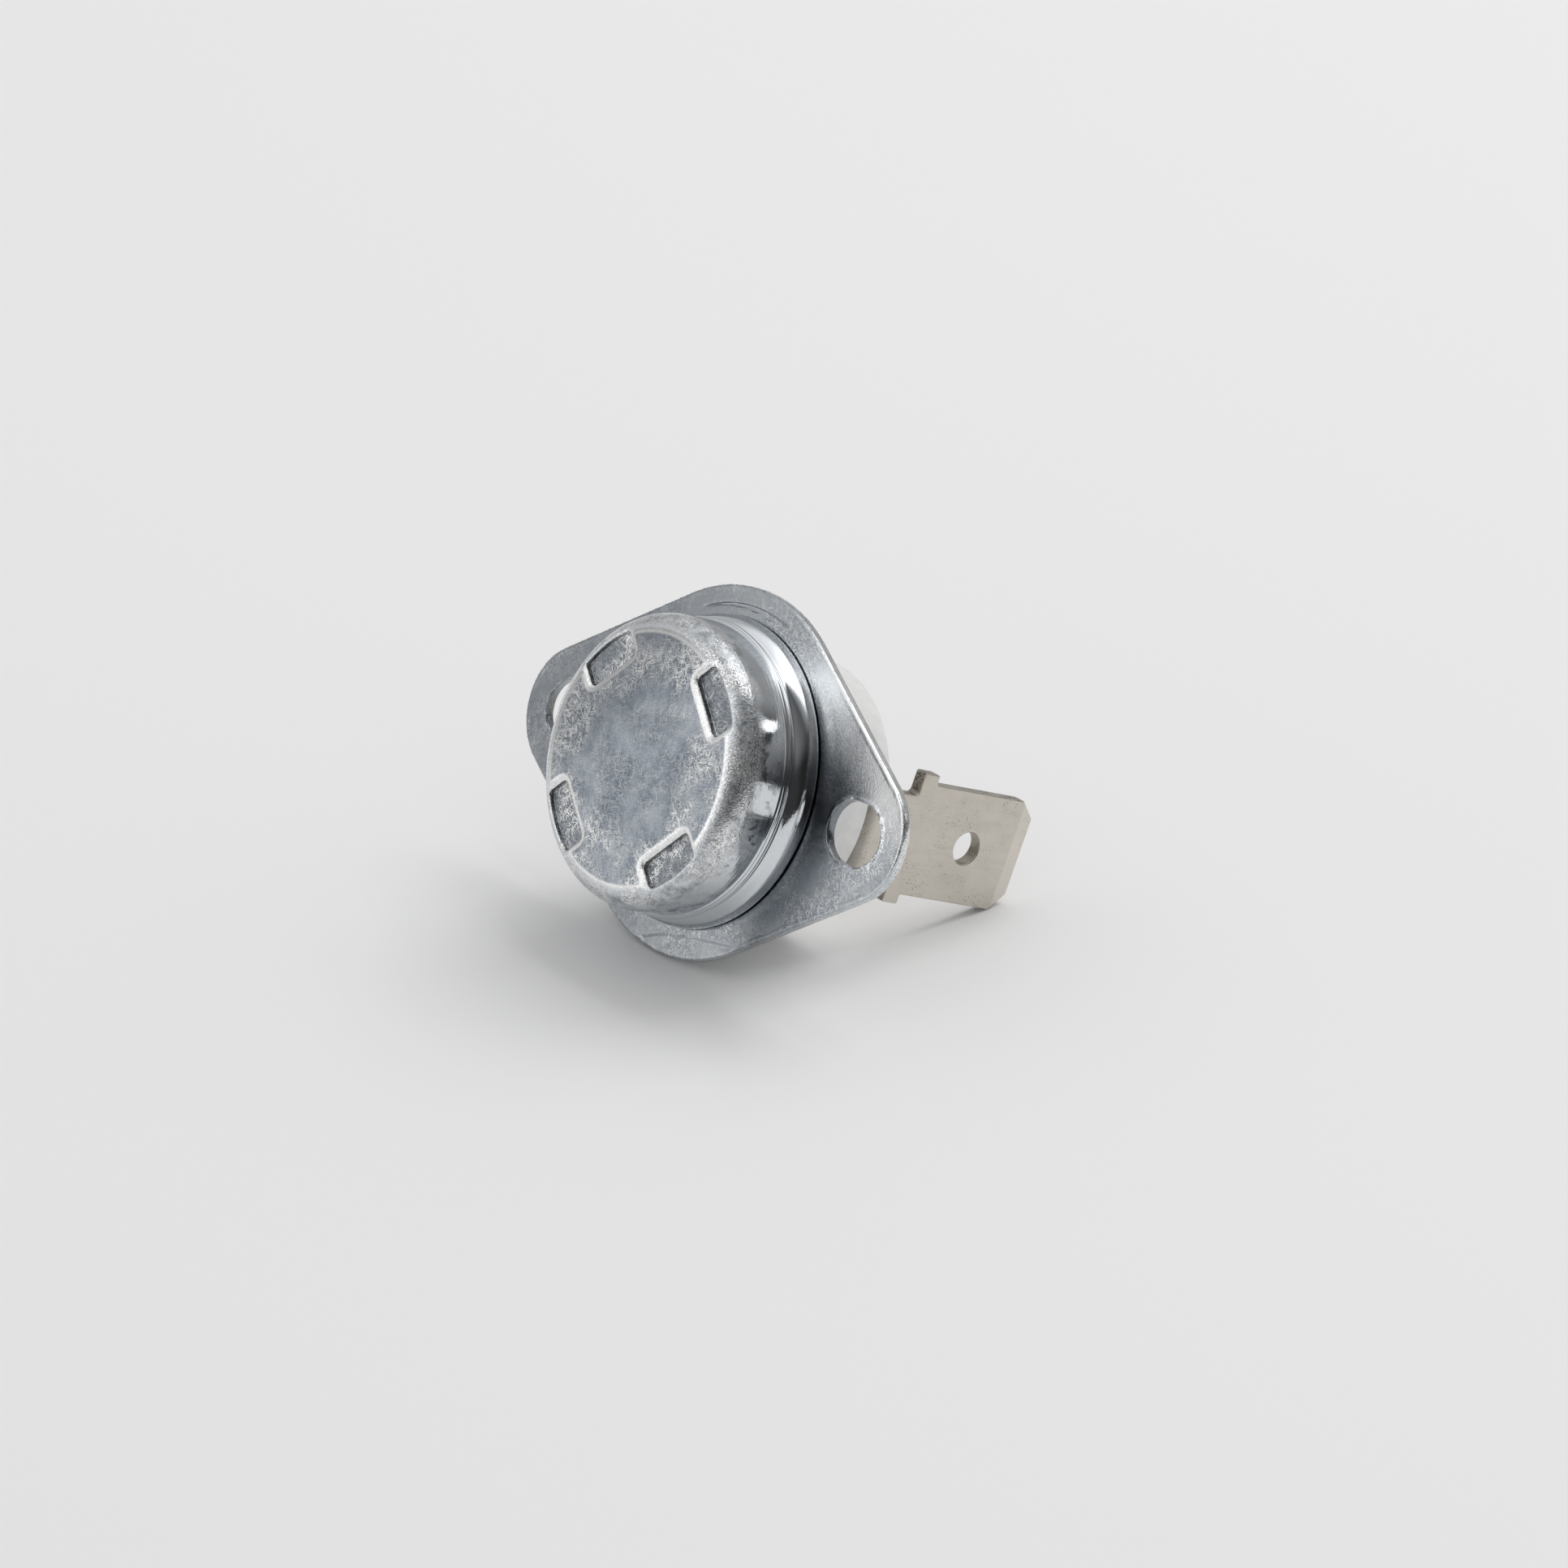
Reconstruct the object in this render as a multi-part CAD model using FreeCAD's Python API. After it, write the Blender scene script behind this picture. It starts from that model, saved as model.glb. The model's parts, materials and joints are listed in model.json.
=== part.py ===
import FreeCAD, Part

import math
import os

from FreeCAD import Vector

# Snap-action bimetal thermostat, in millimetres and degrees.
# The axis of the round parts is Y. The sensing face looks along -Y and its centre is the origin.
# The two holes of the flange lie along X, and the terminals point along +Y.
# Depths are distances from the sensing face along +Y.

# Cap: a drawn sheet, worked from the sensing face back to the rolled rim
cap_radius = 8.05
cap_wall = 0.40
cap_edge_radius = 1.40
ridge_depth = 3.20
ridge_length = 0.65
ridge_rise = 0.12
foot_start_rise = 0.03
foot_length = 1.25
foot_rise = 0.49
foot_roll_radius = 0.42
neck_rise = 0.20

# Dimples in the sensing face
dimple_count = 4
dimple_first_angle = 45.0
dimple_edge_gap = 0.90
dimple_length = 1.65
dimple_half_width = 1.72
dimple_depth = 0.45
dimple_corner_radius = 0.10
boss_growth = 0.30
dimple_rim_radius = 0.20

# Loose flange
flange_half_width = 10.20
flange_end_radius = 3.72
flange_thickness = 0.50
hole_spacing = 24.20
slot_width = 3.40
slot_length = 4.08
flange_bore_clearance = 0.09
flange_play = 0.05
bore_edge_radius = 0.25
flange_edge_radius = 0.20
slot_edge_radius = 0.08

# Ceramic body, turned in the cap
body_turn = 4.0
body_clearance = 0.10
seat_clearance = 0.02
body_step = 0.70
body_rear_depth = 12.05
body_rear_edge = 0.35
shoulder_chamfer = 0.25
chamber_wall = 1.35
end_wall = 3.05
channel_depth = 1.50
channel_half_width = 2.60
barrier_half_width = 1.30

# Terminals
tab_width = 6.30
tab_thickness = 0.80
tab_stand_out = 0.12
tab_end_depth = 22.50
neck_width = 4.80
ear_width = 7.40
ear_depth = 13.65
ear_length = 1.10
tip_chamfer_across = 0.95
tip_chamfer_along = 1.15
tip_bevel_depth = 0.18
tip_bevel_length = 1.00
tab_hole_radius = 0.92
tab_hole_from_tip = 4.12
bend_outer_radius = 0.90
strip_end_gap = 0.45

# Rivets and what they clamp
rivet_from_tab = 2.97
rivet_radius = 0.90
rivet_hole_clearance = 0.05
rivet_head_radius = 1.25
rivet_head_height = 0.50
rivet_rolled_radius = 1.75
rivet_rolled_height = 0.55
rivet_tube_radius = 0.50
rivet_tube_depth = 1.60
washer_radius = 1.35
washer_thickness = 0.25

# Disc, guide plate and push pin
disc_thickness = 0.20
disc_dish = 0.40
disc_clearance = 0.08
guide_clearance = 0.20
guide_ring_width = 1.02
guide_edge_chamfer = 0.25
guide_ledge_width = 0.45
guide_recess = 0.70
guide_thickness = 1.30
guide_boss_radius = 2.00
guide_boss_height = 1.00
pin_radius = 0.90
pin_clearance = 0.06
pin_dome_radius = 1.50
pin_travel = 0.25

# Contacts
arm_thickness = 0.25
arm_half_width = 1.30
arm_past_contact = 0.80
carrier_reach = 1.95
arm_lap = 0.50
carrier_thickness = 0.40
standoff_height = 1.40
bracket_pin_gap = 0.23
contact_radius = 0.75
moving_contact_height = 0.65
fixed_contact_height = 0.40
bracket_thickness = 0.50
bracket_half_width = 0.97
bracket_inset = 2.40
bracket_fold_radius = 0.60
chamber_clearance = 0.15
small_gap = 0.02

# Sizes that follow from the ones above
foot_start = ridge_depth + ridge_length
foot_crest = foot_start + foot_length
foot_start_radius = cap_radius + foot_start_rise
foot_radius = cap_radius + foot_rise
neck_radius = cap_radius + neck_rise
neck_inner_radius = neck_radius - cap_wall
cap_inner_radius = cap_radius - cap_wall
dimple_outer = cap_radius - dimple_edge_gap
dimple_inner = dimple_outer - dimple_length
flange_bore_radius = neck_radius + flange_bore_clearance
body_radius = neck_inner_radius - body_step
tab_reach = body_radius + tab_stand_out
rivet_place = tab_reach - rivet_from_tab
strip_half_width = neck_width / 2
strip_inner_end = barrier_half_width + strip_end_gap
chamber_radius = body_radius - chamber_wall
chamber_end = body_rear_depth - end_wall
channel_floor = body_rear_depth - channel_depth
shoulder_radius = neck_inner_radius - body_clearance
boss_back = dimple_depth + cap_wall
boss_inner = dimple_inner - boss_growth
guide_radius = cap_inner_radius - guide_clearance
disc_radius = guide_radius - guide_ring_width - disc_clearance
disc_sphere = (disc_radius**2 + disc_dish**2) / (2 * disc_dish)
disc_sag_at_boss = math.sqrt(disc_sphere**2 - boss_inner**2) - (disc_sphere - disc_dish)
disc_rim_front = boss_back + disc_sag_at_boss + small_gap
disc_rim_back = disc_rim_front + disc_thickness
guide_front = boss_back + small_gap
guide_ledge = disc_rim_back + disc_clearance
guide_plate_front = guide_ledge + guide_recess
guide_back = guide_plate_front + guide_thickness
bracket_side = chamber_radius - bracket_inset
contact_place = -(pin_radius + bracket_pin_gap + bracket_half_width)
arm_tip = contact_place - arm_past_contact
arm_pivot = rivet_place - carrier_reach
carrier_back = chamber_end - standoff_height
carrier_front = carrier_back - carrier_thickness
arm_back = carrier_front
arm_front = arm_back - arm_thickness
pin_front = boss_back + disc_thickness + disc_dish - pin_travel
pin_back = arm_front - small_gap
rivet_bore_radius = rivet_radius + rivet_hole_clearance
bracket_front = arm_front - moving_contact_height - fixed_contact_height - bracket_thickness


class Outline:
    """A chain of lines and arcs in the plane of radius (or X) and depth Y."""

    def __init__(self, x, y):
        self.start = Vector(x, y, 0)
        self.last = self.start
        self.edges = []

    def line(self, x, y):
        """Adds a straight run to the point x, y."""
        end = Vector(x, y, 0)
        self.edges.append(Part.LineSegment(self.last, end).toShape())
        self.last = end
        return self

    def arc(self, through, end):
        """Adds an arc that passes the first point and stops at the second."""
        stop = Vector(end[0], end[1], 0)
        self.edges.append(Part.Arc(self.last, Vector(through[0], through[1], 0), stop).toShape())
        self.last = stop
        return self

    def face(self):
        """Closes the chain and fills it."""
        if (self.last - self.start).Length > 1e-7:
            self.line(self.start.x, self.start.y)
        return Part.Face(Part.Wire(self.edges))

    def turned_solid(self, x=0.0):
        """Revolves the outline round an axis along Y at the given X."""
        solid = self.face().revolve(Vector(0, 0, 0), Vector(0, 1, 0), 360)
        solid.translate(Vector(x, 0, 0))
        return solid

    def extruded(self, low_z, high_z):
        """Extrudes the outline along Z."""
        solid = self.face().extrude(Vector(0, 0, high_z - low_z))
        solid.translate(Vector(0, 0, low_z))
        return solid


def round_bar(radius, low, high, x=0.0):
    """A cylinder along Y between two depths."""
    return Part.makeCylinder(radius, high - low, Vector(x, low, 0), Vector(0, 1, 0))


def tube(outer, inner, low, high, x=0.0):
    """A hollow cylinder along Y between two depths."""
    return round_bar(outer, low, high, x).cut(round_bar(inner, low - 1, high + 1, x))


def slab(low_x, high_x, low_y, high_y, low_z, high_z):
    """A box between two corners."""
    return Part.makeBox(high_x - low_x, high_y - low_y, high_z - low_z, Vector(low_x, low_y, low_z))


def on_arc(centre_x, centre_y, radius, angle):
    """A point of a circle, with the angle counted from +X towards +Y."""
    turn = math.radians(angle)
    return (centre_x + radius * math.cos(turn), centre_y + radius * math.sin(turn))


def turned(shape, angle):
    """A copy of the shape turned about the Y axis."""
    copy = shape.copy()
    copy.rotate(Vector(0, 0, 0), Vector(0, 1, 0), angle)
    return copy


def circle_edges(shape, radius, depth):
    """The edges of a shape that are circles round the Y axis of one radius at one depth."""
    found = []
    for edge in shape.Edges:
        curve = edge.Curve
        if not isinstance(curve, Part.Circle):
            continue
        if abs(curve.Radius - radius) < 1e-4 and abs(curve.Center.y - depth) < 1e-4:
            found.append(edge)
    return found


def edges_at_depth(shape, depth):
    """The edges of a shape that lie whole at one depth."""
    return [
        edge
        for edge in shape.Edges
        if abs(edge.BoundBox.YMin - depth) < 1e-4 and abs(edge.BoundBox.YMax - depth) < 1e-4
    ]


def edges_along_depth(shape):
    """The straight edges of a shape that run along Y."""
    return [edge for edge in shape.Edges if edge.BoundBox.XLength < 1e-4 and edge.BoundBox.ZLength < 1e-4]


def dimple_block(growth, low, high):
    """The body of one dimple on the +X side, grown sideways, with an outer side round the axis."""
    inner = dimple_inner - growth
    outer = dimple_outer + growth
    half_width = dimple_half_width + growth
    corner = math.sqrt(outer * outer - half_width * half_width)
    near_low = Vector(inner, low, -half_width)
    near_high = Vector(inner, low, half_width)
    far_high = Vector(corner, low, half_width)
    far_low = Vector(corner, low, -half_width)
    outline = Part.Wire(
        [
            Part.LineSegment(near_low, near_high).toShape(),
            Part.LineSegment(near_high, far_high).toShape(),
            Part.Arc(far_high, Vector(outer, low, 0), far_low).toShape(),
            Part.LineSegment(far_low, near_low).toShape(),
        ]
    )
    block = Part.Face(outline).extrude(Vector(0, high - low, 0))
    return block.makeFillet(dimple_corner_radius + growth, edges_along_depth(block))


def cap_profile():
    """Half section of the drawn cap with its ridge, bulged foot, neck and rolled rim."""
    flat_radius = cap_radius - cap_edge_radius
    inner_edge_radius = cap_edge_radius - cap_wall
    rise = foot_radius - foot_start_radius
    foot_arc_radius = (rise * rise + foot_length * foot_length) / (2 * rise)
    foot_centre = foot_radius - foot_arc_radius
    foot_half_angle = -0.5 * math.degrees(math.asin(foot_length / foot_arc_radius))
    roll_centre = foot_radius - foot_roll_radius
    roll_angle = math.degrees(math.acos((neck_radius - roll_centre) / foot_roll_radius))
    neck_start = foot_crest + foot_roll_radius * math.sin(math.radians(roll_angle))
    inner_foot_radius = foot_arc_radius - cap_wall
    inner_drop = math.acos((cap_inner_radius - foot_centre) / inner_foot_radius)
    inner_foot_start = foot_crest - inner_foot_radius * math.sin(inner_drop)
    inner_half_angle = -0.5 * math.degrees(inner_drop)
    hem_radius = cap_wall
    hem_centre = neck_radius + 0.5 * hem_radius
    hem_back = hem_front + 2 * hem_radius
    lip_radius = body_radius + 2 * body_clearance

    outline = Outline(0, 0)
    outline.line(flat_radius, 0)
    outline.arc(
        on_arc(flat_radius, cap_edge_radius, cap_edge_radius, -45),
        (cap_radius, cap_edge_radius),
    )
    outline.line(cap_radius, ridge_depth)
    outline.arc(
        (cap_radius + ridge_rise, ridge_depth + 0.5 * ridge_length),
        (foot_start_radius, foot_start),
    )
    outline.arc(
        on_arc(foot_centre, foot_crest, foot_arc_radius, foot_half_angle),
        (foot_radius, foot_crest),
    )
    outline.arc(
        on_arc(roll_centre, foot_crest, foot_roll_radius, 0.5 * roll_angle),
        (neck_radius, neck_start),
    )
    outline.line(neck_radius, hem_front)
    outline.line(hem_centre, hem_front)
    outline.arc(
        (hem_centre + hem_radius, hem_front + hem_radius),
        (hem_centre, hem_back),
    )
    outline.line(lip_radius, hem_back)
    outline.line(lip_radius, hem_back - hem_radius)
    outline.line(neck_inner_radius, hem_back - hem_radius)
    outline.line(neck_inner_radius, neck_start)
    outline.line(foot_radius - cap_wall, foot_crest)
    outline.arc(
        on_arc(foot_centre, foot_crest, inner_foot_radius, inner_half_angle),
        (cap_inner_radius, inner_foot_start),
    )
    outline.line(cap_inner_radius, cap_edge_radius)
    outline.arc(
        on_arc(flat_radius, cap_edge_radius, inner_edge_radius, -45),
        (flat_radius, cap_wall),
    )
    outline.line(0, cap_wall)
    return outline


def flange_front_depth():
    """Depth at which the rounded edge of the flange's bore clears the foot's roll by the play."""
    reach = foot_roll_radius + bore_edge_radius + flange_play
    across = (flange_bore_radius + bore_edge_radius) - (foot_radius - foot_roll_radius)
    return foot_crest + math.sqrt(reach * reach - across * across) - bore_edge_radius


flange_front = flange_front_depth()
flange_back = flange_front + flange_thickness
hem_front = flange_back + flange_play
shoulder_back = hem_front + cap_wall - seat_clearance
shoulder_front = foot_start + 0.5 * foot_length


def make_sensing_cap():
    """The cap, with dimples that are recesses outside and bosses inside."""
    cap = cap_profile().turned_solid()
    boss = dimple_block(boss_growth, 0.5 * cap_wall, boss_back)
    boss = boss.common(round_bar(cap_inner_radius + 0.5 * cap_wall, 0, boss_back))
    recess = dimple_block(0, -small_gap, dimple_depth)
    angles = [dimple_first_angle + index * 360.0 / dimple_count for index in range(dimple_count)]
    recesses = [turned(recess, angle) for angle in angles]
    cap = cap.fuse([turned(boss, angle) for angle in angles]).cut(recesses)
    rims = []
    for edge in cap.Edges:
        if edge.BoundBox.YMax > 0.5 * dimple_depth:
            continue
        middle = edge.valueAt(0.5 * (edge.FirstParameter + edge.LastParameter))
        if any(block.isInside(middle, 1e-4, True) for block in recesses):
            rims.append(edge)
    return cap.makeFillet(dimple_rim_radius, rims)


def flange_outline():
    """The flange's outline: a middle circle, two end circles and their common tangents."""
    reach = 0.5 * hole_spacing
    lean = math.acos((flange_half_width - flange_end_radius) / reach)
    edges = []
    for side in (1, -1):
        across = math.cos(lean)
        up = side * math.sin(lean)
        middle_right = Vector(flange_half_width * across, 0, flange_half_width * up)
        middle_left = Vector(-middle_right.x, 0, middle_right.z)
        end_right = Vector(reach + flange_end_radius * across, 0, flange_end_radius * up)
        end_left = Vector(-end_right.x, 0, end_right.z)
        top = Vector(0, 0, side * flange_half_width)
        edges.append(Part.Arc(middle_right, top, middle_left).toShape())
        edges.append(Part.LineSegment(middle_right, end_right).toShape())
        edges.append(Part.LineSegment(middle_left, end_left).toShape())
        if side > 0:
            right_low = Vector(end_right.x, 0, -end_right.z)
            left_low = Vector(end_left.x, 0, -end_left.z)
            edges.append(Part.Arc(end_right, Vector(reach + flange_end_radius, 0, 0), right_low).toShape())
            edges.append(Part.Arc(end_left, Vector(-reach - flange_end_radius, 0, 0), left_low).toShape())
    return Part.Wire(Part.__sortEdges__(edges))


def slot_block(x):
    """The cutter of one slotted hole."""
    radius = 0.5 * slot_width
    half = 0.5 * slot_length - radius
    low = flange_front - 1
    high = flange_back + 1
    block = slab(x - half, x + half, low, high, -radius, radius)
    return block.fuse([round_bar(radius, low, high, x - half), round_bar(radius, low, high, x + half)])


def make_mounting_flange():
    """The stamped flange, with die roll on its front edges."""
    plate = Part.Face(flange_outline()).extrude(Vector(0, flange_thickness, 0))
    plate.translate(Vector(0, flange_front, 0))
    plate = plate.makeFillet(flange_edge_radius, edges_at_depth(plate, flange_front))
    plate = plate.cut(round_bar(flange_bore_radius, flange_front - 1, flange_back + 1))
    plate = plate.makeFillet(bore_edge_radius, circle_edges(plate, flange_bore_radius, flange_front))
    reach = 0.5 * hole_spacing
    plate = plate.cut([slot_block(reach), slot_block(-reach)])
    rims = []
    for edge in edges_at_depth(plate, flange_front):
        middle = edge.valueAt(0.5 * (edge.FirstParameter + edge.LastParameter))
        offset = Vector(abs(middle.x) - reach, 0, middle.z)
        if offset.Length < 0.5 * slot_length + small_gap:
            rims.append(edge)
    return plate.makeFillet(slot_edge_radius, rims)


def make_bimetal_disc():
    """The snap disc, dished towards the cap as it is when cold."""
    middle = 0.5 * disc_radius
    middle_rise = disc_sphere - math.sqrt(disc_sphere**2 - middle**2)
    front = disc_rim_front - disc_dish
    back = disc_rim_back - disc_dish
    outline = Outline(0, front)
    outline.arc((middle, front + middle_rise), (disc_radius, disc_rim_front))
    outline.line(disc_radius, disc_rim_back)
    outline.arc((middle, back + middle_rise), (0, back))
    return outline.turned_solid()


def make_guide_plate():
    """The plate behind the disc: a ring that centres the disc, a ledge and a boss for the pin."""
    ring_inner = disc_radius + disc_clearance
    ledge_inner = disc_radius - guide_ledge_width
    bore = pin_radius + pin_clearance
    outline = Outline(bore, guide_plate_front)
    outline.line(ledge_inner, guide_plate_front)
    outline.line(ledge_inner, guide_ledge)
    outline.line(ring_inner, guide_ledge)
    outline.line(ring_inner, guide_front)
    outline.line(guide_radius - guide_edge_chamfer, guide_front)
    outline.line(guide_radius, guide_front + guide_edge_chamfer)
    outline.line(guide_radius, guide_back)
    outline.line(guide_boss_radius, guide_back)
    outline.line(guide_boss_radius, guide_back + guide_boss_height)
    outline.line(bore, guide_back + guide_boss_height)
    return outline.turned_solid()


def make_push_pin():
    """The pin, domed at both ends."""
    dome_height = pin_dome_radius - math.sqrt(pin_dome_radius**2 - pin_radius**2)
    half_angle = 0.5 * math.degrees(math.asin(pin_radius / pin_dome_radius))
    outline = Outline(0, pin_front)
    outline.arc(
        on_arc(0, pin_front + pin_dome_radius, pin_dome_radius, half_angle - 90),
        (pin_radius, pin_front + dome_height),
    )
    outline.line(pin_radius, pin_back - dome_height)
    outline.arc(
        on_arc(0, pin_back - pin_dome_radius, pin_dome_radius, 90 - half_angle),
        (0, pin_back),
    )
    return outline.turned_solid()


def make_ceramic_body():
    """The ceramic housing: spigot, shoulder, chamber, two channels and two rivet holes."""
    body_front = guide_back + small_gap
    spigot_radius = cap_inner_radius - 1.5 * body_clearance
    edge = body_rear_edge
    outline = Outline(chamber_radius, body_front)
    outline.line(spigot_radius, body_front)
    outline.line(spigot_radius, shoulder_front)
    outline.line(shoulder_radius, shoulder_front + shoulder_chamfer)
    outline.line(shoulder_radius, shoulder_back)
    outline.line(body_radius, shoulder_back)
    outline.line(body_radius, body_rear_depth - edge)
    outline.arc(
        on_arc(body_radius - edge, body_rear_depth - edge, edge, 45),
        (body_radius - edge, body_rear_depth),
    )
    outline.line(0, body_rear_depth)
    outline.line(0, chamber_end)
    outline.line(chamber_radius, chamber_end)
    body = outline.turned_solid()
    cutters = []
    for side in (1, -1):
        low_x, high_x = sorted((side * barrier_half_width, side * 2 * body_radius))
        half = channel_half_width
        cutters.append(slab(low_x, high_x, channel_floor, body_rear_depth + 1, -half, half))
        cutters.append(round_bar(rivet_bore_radius, chamber_end - 1, channel_floor + 1, side * rivet_place))
    return body.cut(cutters)


def terminal_profile():
    """Side view of a terminal: strip, bend, neck and bevelled tab."""
    inner_bend = bend_outer_radius - tab_thickness
    inner_face = tab_reach - tab_thickness
    strip_top = channel_floor + tab_thickness
    centre_x = tab_reach - bend_outer_radius
    centre_y = channel_floor + bend_outer_radius
    outline = Outline(strip_inner_end, channel_floor)
    outline.line(centre_x, channel_floor)
    outline.arc(on_arc(centre_x, centre_y, bend_outer_radius, -45), (tab_reach, centre_y))
    outline.line(tab_reach, tab_end_depth - tip_bevel_length)
    outline.line(tab_reach - tip_bevel_depth, tab_end_depth)
    outline.line(inner_face + tip_bevel_depth, tab_end_depth)
    outline.line(inner_face, tab_end_depth - tip_bevel_length)
    outline.line(inner_face, centre_y)
    outline.arc(on_arc(centre_x, centre_y, inner_bend, -45), (centre_x, strip_top))
    outline.line(strip_inner_end, strip_top)
    return outline


def tab_outline_block():
    """Front view of a terminal, filled through its whole reach."""
    half_tab = 0.5 * tab_width
    half_ear = 0.5 * ear_width
    low_end = channel_floor - 1
    ear_end = ear_depth + ear_length
    chamfer_start = tab_end_depth - tip_chamfer_along
    right = [
        (strip_half_width, low_end),
        (strip_half_width, ear_depth),
        (half_ear, ear_depth),
        (half_ear, ear_end),
        (half_tab, ear_end),
        (half_tab, chamfer_start),
        (half_tab - tip_chamfer_across, tab_end_depth),
    ]
    left = [(-across, depth) for across, depth in reversed(right)]
    points = [Vector(0, depth, across) for across, depth in right + left]
    face = Part.Face(Part.makePolygon(points + [points[0]]))
    return face.extrude(Vector(tab_reach + 1, 0, 0))


def make_terminal():
    """One terminal, on the +X side."""
    half_ear = 0.5 * ear_width
    terminal = terminal_profile().extruded(-half_ear, half_ear).common(tab_outline_block())
    hole_start = Vector(0.5 * tab_reach, tab_end_depth - tab_hole_from_tip, 0)
    tab_hole = Part.makeCylinder(tab_hole_radius, tab_reach, hole_start, Vector(1, 0, 0))
    strip_top = channel_floor + tab_thickness
    rivet_hole = round_bar(rivet_bore_radius, channel_floor - 1, strip_top + 1, rivet_place)
    return terminal.cut([tab_hole, rivet_hole])


def make_rivet(head_front):
    """A semi-tubular rivet on the +X side, from its inner head to the end rolled on the terminal."""
    strip_top = channel_floor + tab_thickness
    rolled_top = strip_top + rivet_rolled_height
    head_back = head_front + rivet_head_height
    crown = 0.5 * (rivet_tube_radius + rivet_rolled_radius)
    edge = 0.5 * rivet_head_height
    outline = Outline(0, head_front)
    outline.line(rivet_head_radius - edge, head_front)
    outline.arc(
        on_arc(rivet_head_radius - edge, head_front + edge, edge, -45),
        (rivet_head_radius, head_front + edge),
    )
    outline.line(rivet_head_radius, head_back)
    outline.line(rivet_radius, head_back)
    outline.line(rivet_radius, strip_top)
    outline.line(rivet_rolled_radius, strip_top)
    outline.arc((crown, rolled_top), (rivet_tube_radius, strip_top))
    outline.line(rivet_tube_radius, rolled_top - rivet_tube_depth)
    outline.line(0, rolled_top - rivet_tube_depth - 0.5 * rivet_tube_radius)
    return outline.turned_solid(rivet_place)


def make_washer(back):
    """A washer under a rivet's inner head on the +X side."""
    return tube(washer_radius, rivet_bore_radius, back - washer_thickness, back, rivet_place)


def make_arm_carrier():
    """The strip that carries the arm, with a round root at the rivet and a square front end."""
    strip = slab(arm_pivot, rivet_place, carrier_front, carrier_back, -arm_half_width, arm_half_width)
    strip = strip.fuse(round_bar(arm_half_width, carrier_front, carrier_back, rivet_place)).removeSplitter()
    return strip.cut(round_bar(rivet_bore_radius, carrier_front - 1, carrier_back + 1, rivet_place))


def make_contact_arm():
    """The leaf spring, welded on the carrier's end and free from there to its tip."""
    return slab(arm_tip, arm_pivot + arm_lap, arm_front, arm_back, -arm_half_width, arm_half_width)


def make_fixed_contact_bracket():
    """The bracket: a base on the end wall, an upright beside the arm and a shelf over its tip."""
    thick = bracket_thickness
    fold = bracket_fold_radius
    inner_fold = fold - thick
    base_front = chamber_end - thick
    shelf_back = bracket_front + thick
    low_side = -arm_half_width
    fold_side = bracket_side - fold
    base_fold = chamber_end - fold
    shelf_fold = bracket_front + fold
    outline = Outline(low_side, chamber_end)
    outline.line(fold_side, chamber_end)
    outline.arc(on_arc(fold_side, base_fold, fold, 45), (bracket_side, base_fold))
    outline.line(bracket_side, shelf_fold)
    outline.arc(on_arc(fold_side, shelf_fold, fold, -45), (fold_side, bracket_front))
    outline.line(-bracket_half_width, bracket_front)
    outline.line(-bracket_half_width, shelf_back)
    outline.line(fold_side, shelf_back)
    outline.arc(on_arc(fold_side, shelf_fold, inner_fold, -45), (bracket_side - thick, shelf_fold))
    outline.line(bracket_side - thick, base_fold)
    outline.arc(on_arc(fold_side, base_fold, inner_fold, 45), (fold_side, base_front))
    outline.line(low_side, base_front)
    hook = outline.extruded(-bracket_half_width, bracket_half_width)
    hook.rotate(Vector(0, 0, 0), Vector(0, 1, 0), -90)
    hook.translate(Vector(contact_place, 0, 0))
    base = slab(-chamber_radius, contact_place, base_front, chamber_end, low_side, arm_half_width)
    base = base.common(round_bar(chamber_radius - chamber_clearance, base_front, chamber_end))
    bracket = hook.fuse(base).removeSplitter()
    return bracket.cut(round_bar(rivet_bore_radius, base_front - 1, chamber_end + 1, -rivet_place))


def make_pieces():
    """All pieces by name, in their places."""
    left_washer_back = chamber_end - bracket_thickness
    right_head = carrier_front - washer_thickness - rivet_head_height
    left_head = left_washer_back - washer_thickness - rivet_head_height
    meeting = arm_front - moving_contact_height
    moving_contact = round_bar(contact_radius, meeting, arm_front, contact_place)
    fixed_contact = round_bar(contact_radius, meeting - fixed_contact_height, meeting, contact_place)
    standoff = tube(washer_radius, rivet_bore_radius, carrier_back, chamber_end, rivet_place)
    terminal = make_terminal()
    turned_with_body = {
        "ceramic_body": make_ceramic_body(),
        "guide_plate": make_guide_plate(),
        "terminal_right": terminal,
        "terminal_left": turned(terminal, 180),
        "rivet_right": make_rivet(right_head),
        "rivet_left": turned(make_rivet(left_head), 180),
        "washer_right": make_washer(carrier_front),
        "washer_left": turned(make_washer(left_washer_back), 180),
        "arm_standoff": standoff,
        "arm_carrier": make_arm_carrier(),
        "contact_arm": make_contact_arm(),
        "moving_contact": moving_contact,
        "fixed_contact_bracket": make_fixed_contact_bracket(),
        "fixed_contact": fixed_contact,
    }
    pieces = {
        "sensing_cap": make_sensing_cap(),
        "mounting_flange": make_mounting_flange(),
        "bimetal_disc": make_bimetal_disc(),
        "push_pin": make_push_pin(),
    }
    for name, shape in turned_with_body.items():
        pieces[name] = turned(shape, body_turn)
    return pieces


def main():
    """Writes one STEP file per piece."""
    os.makedirs("parts", exist_ok=True)
    for name, shape in make_pieces().items():
        solid = shape.Solids[0]
        print(name, "solids", len(shape.Solids), "valid", shape.isValid(), "volume", round(shape.Volume, 3))
        solid.exportStep("parts/" + name + ".step")


if __name__ == "__main__":
    main()
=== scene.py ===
"""Bimetal thermostat: the visible shells, finishes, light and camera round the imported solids."""

from __future__ import annotations

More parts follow.
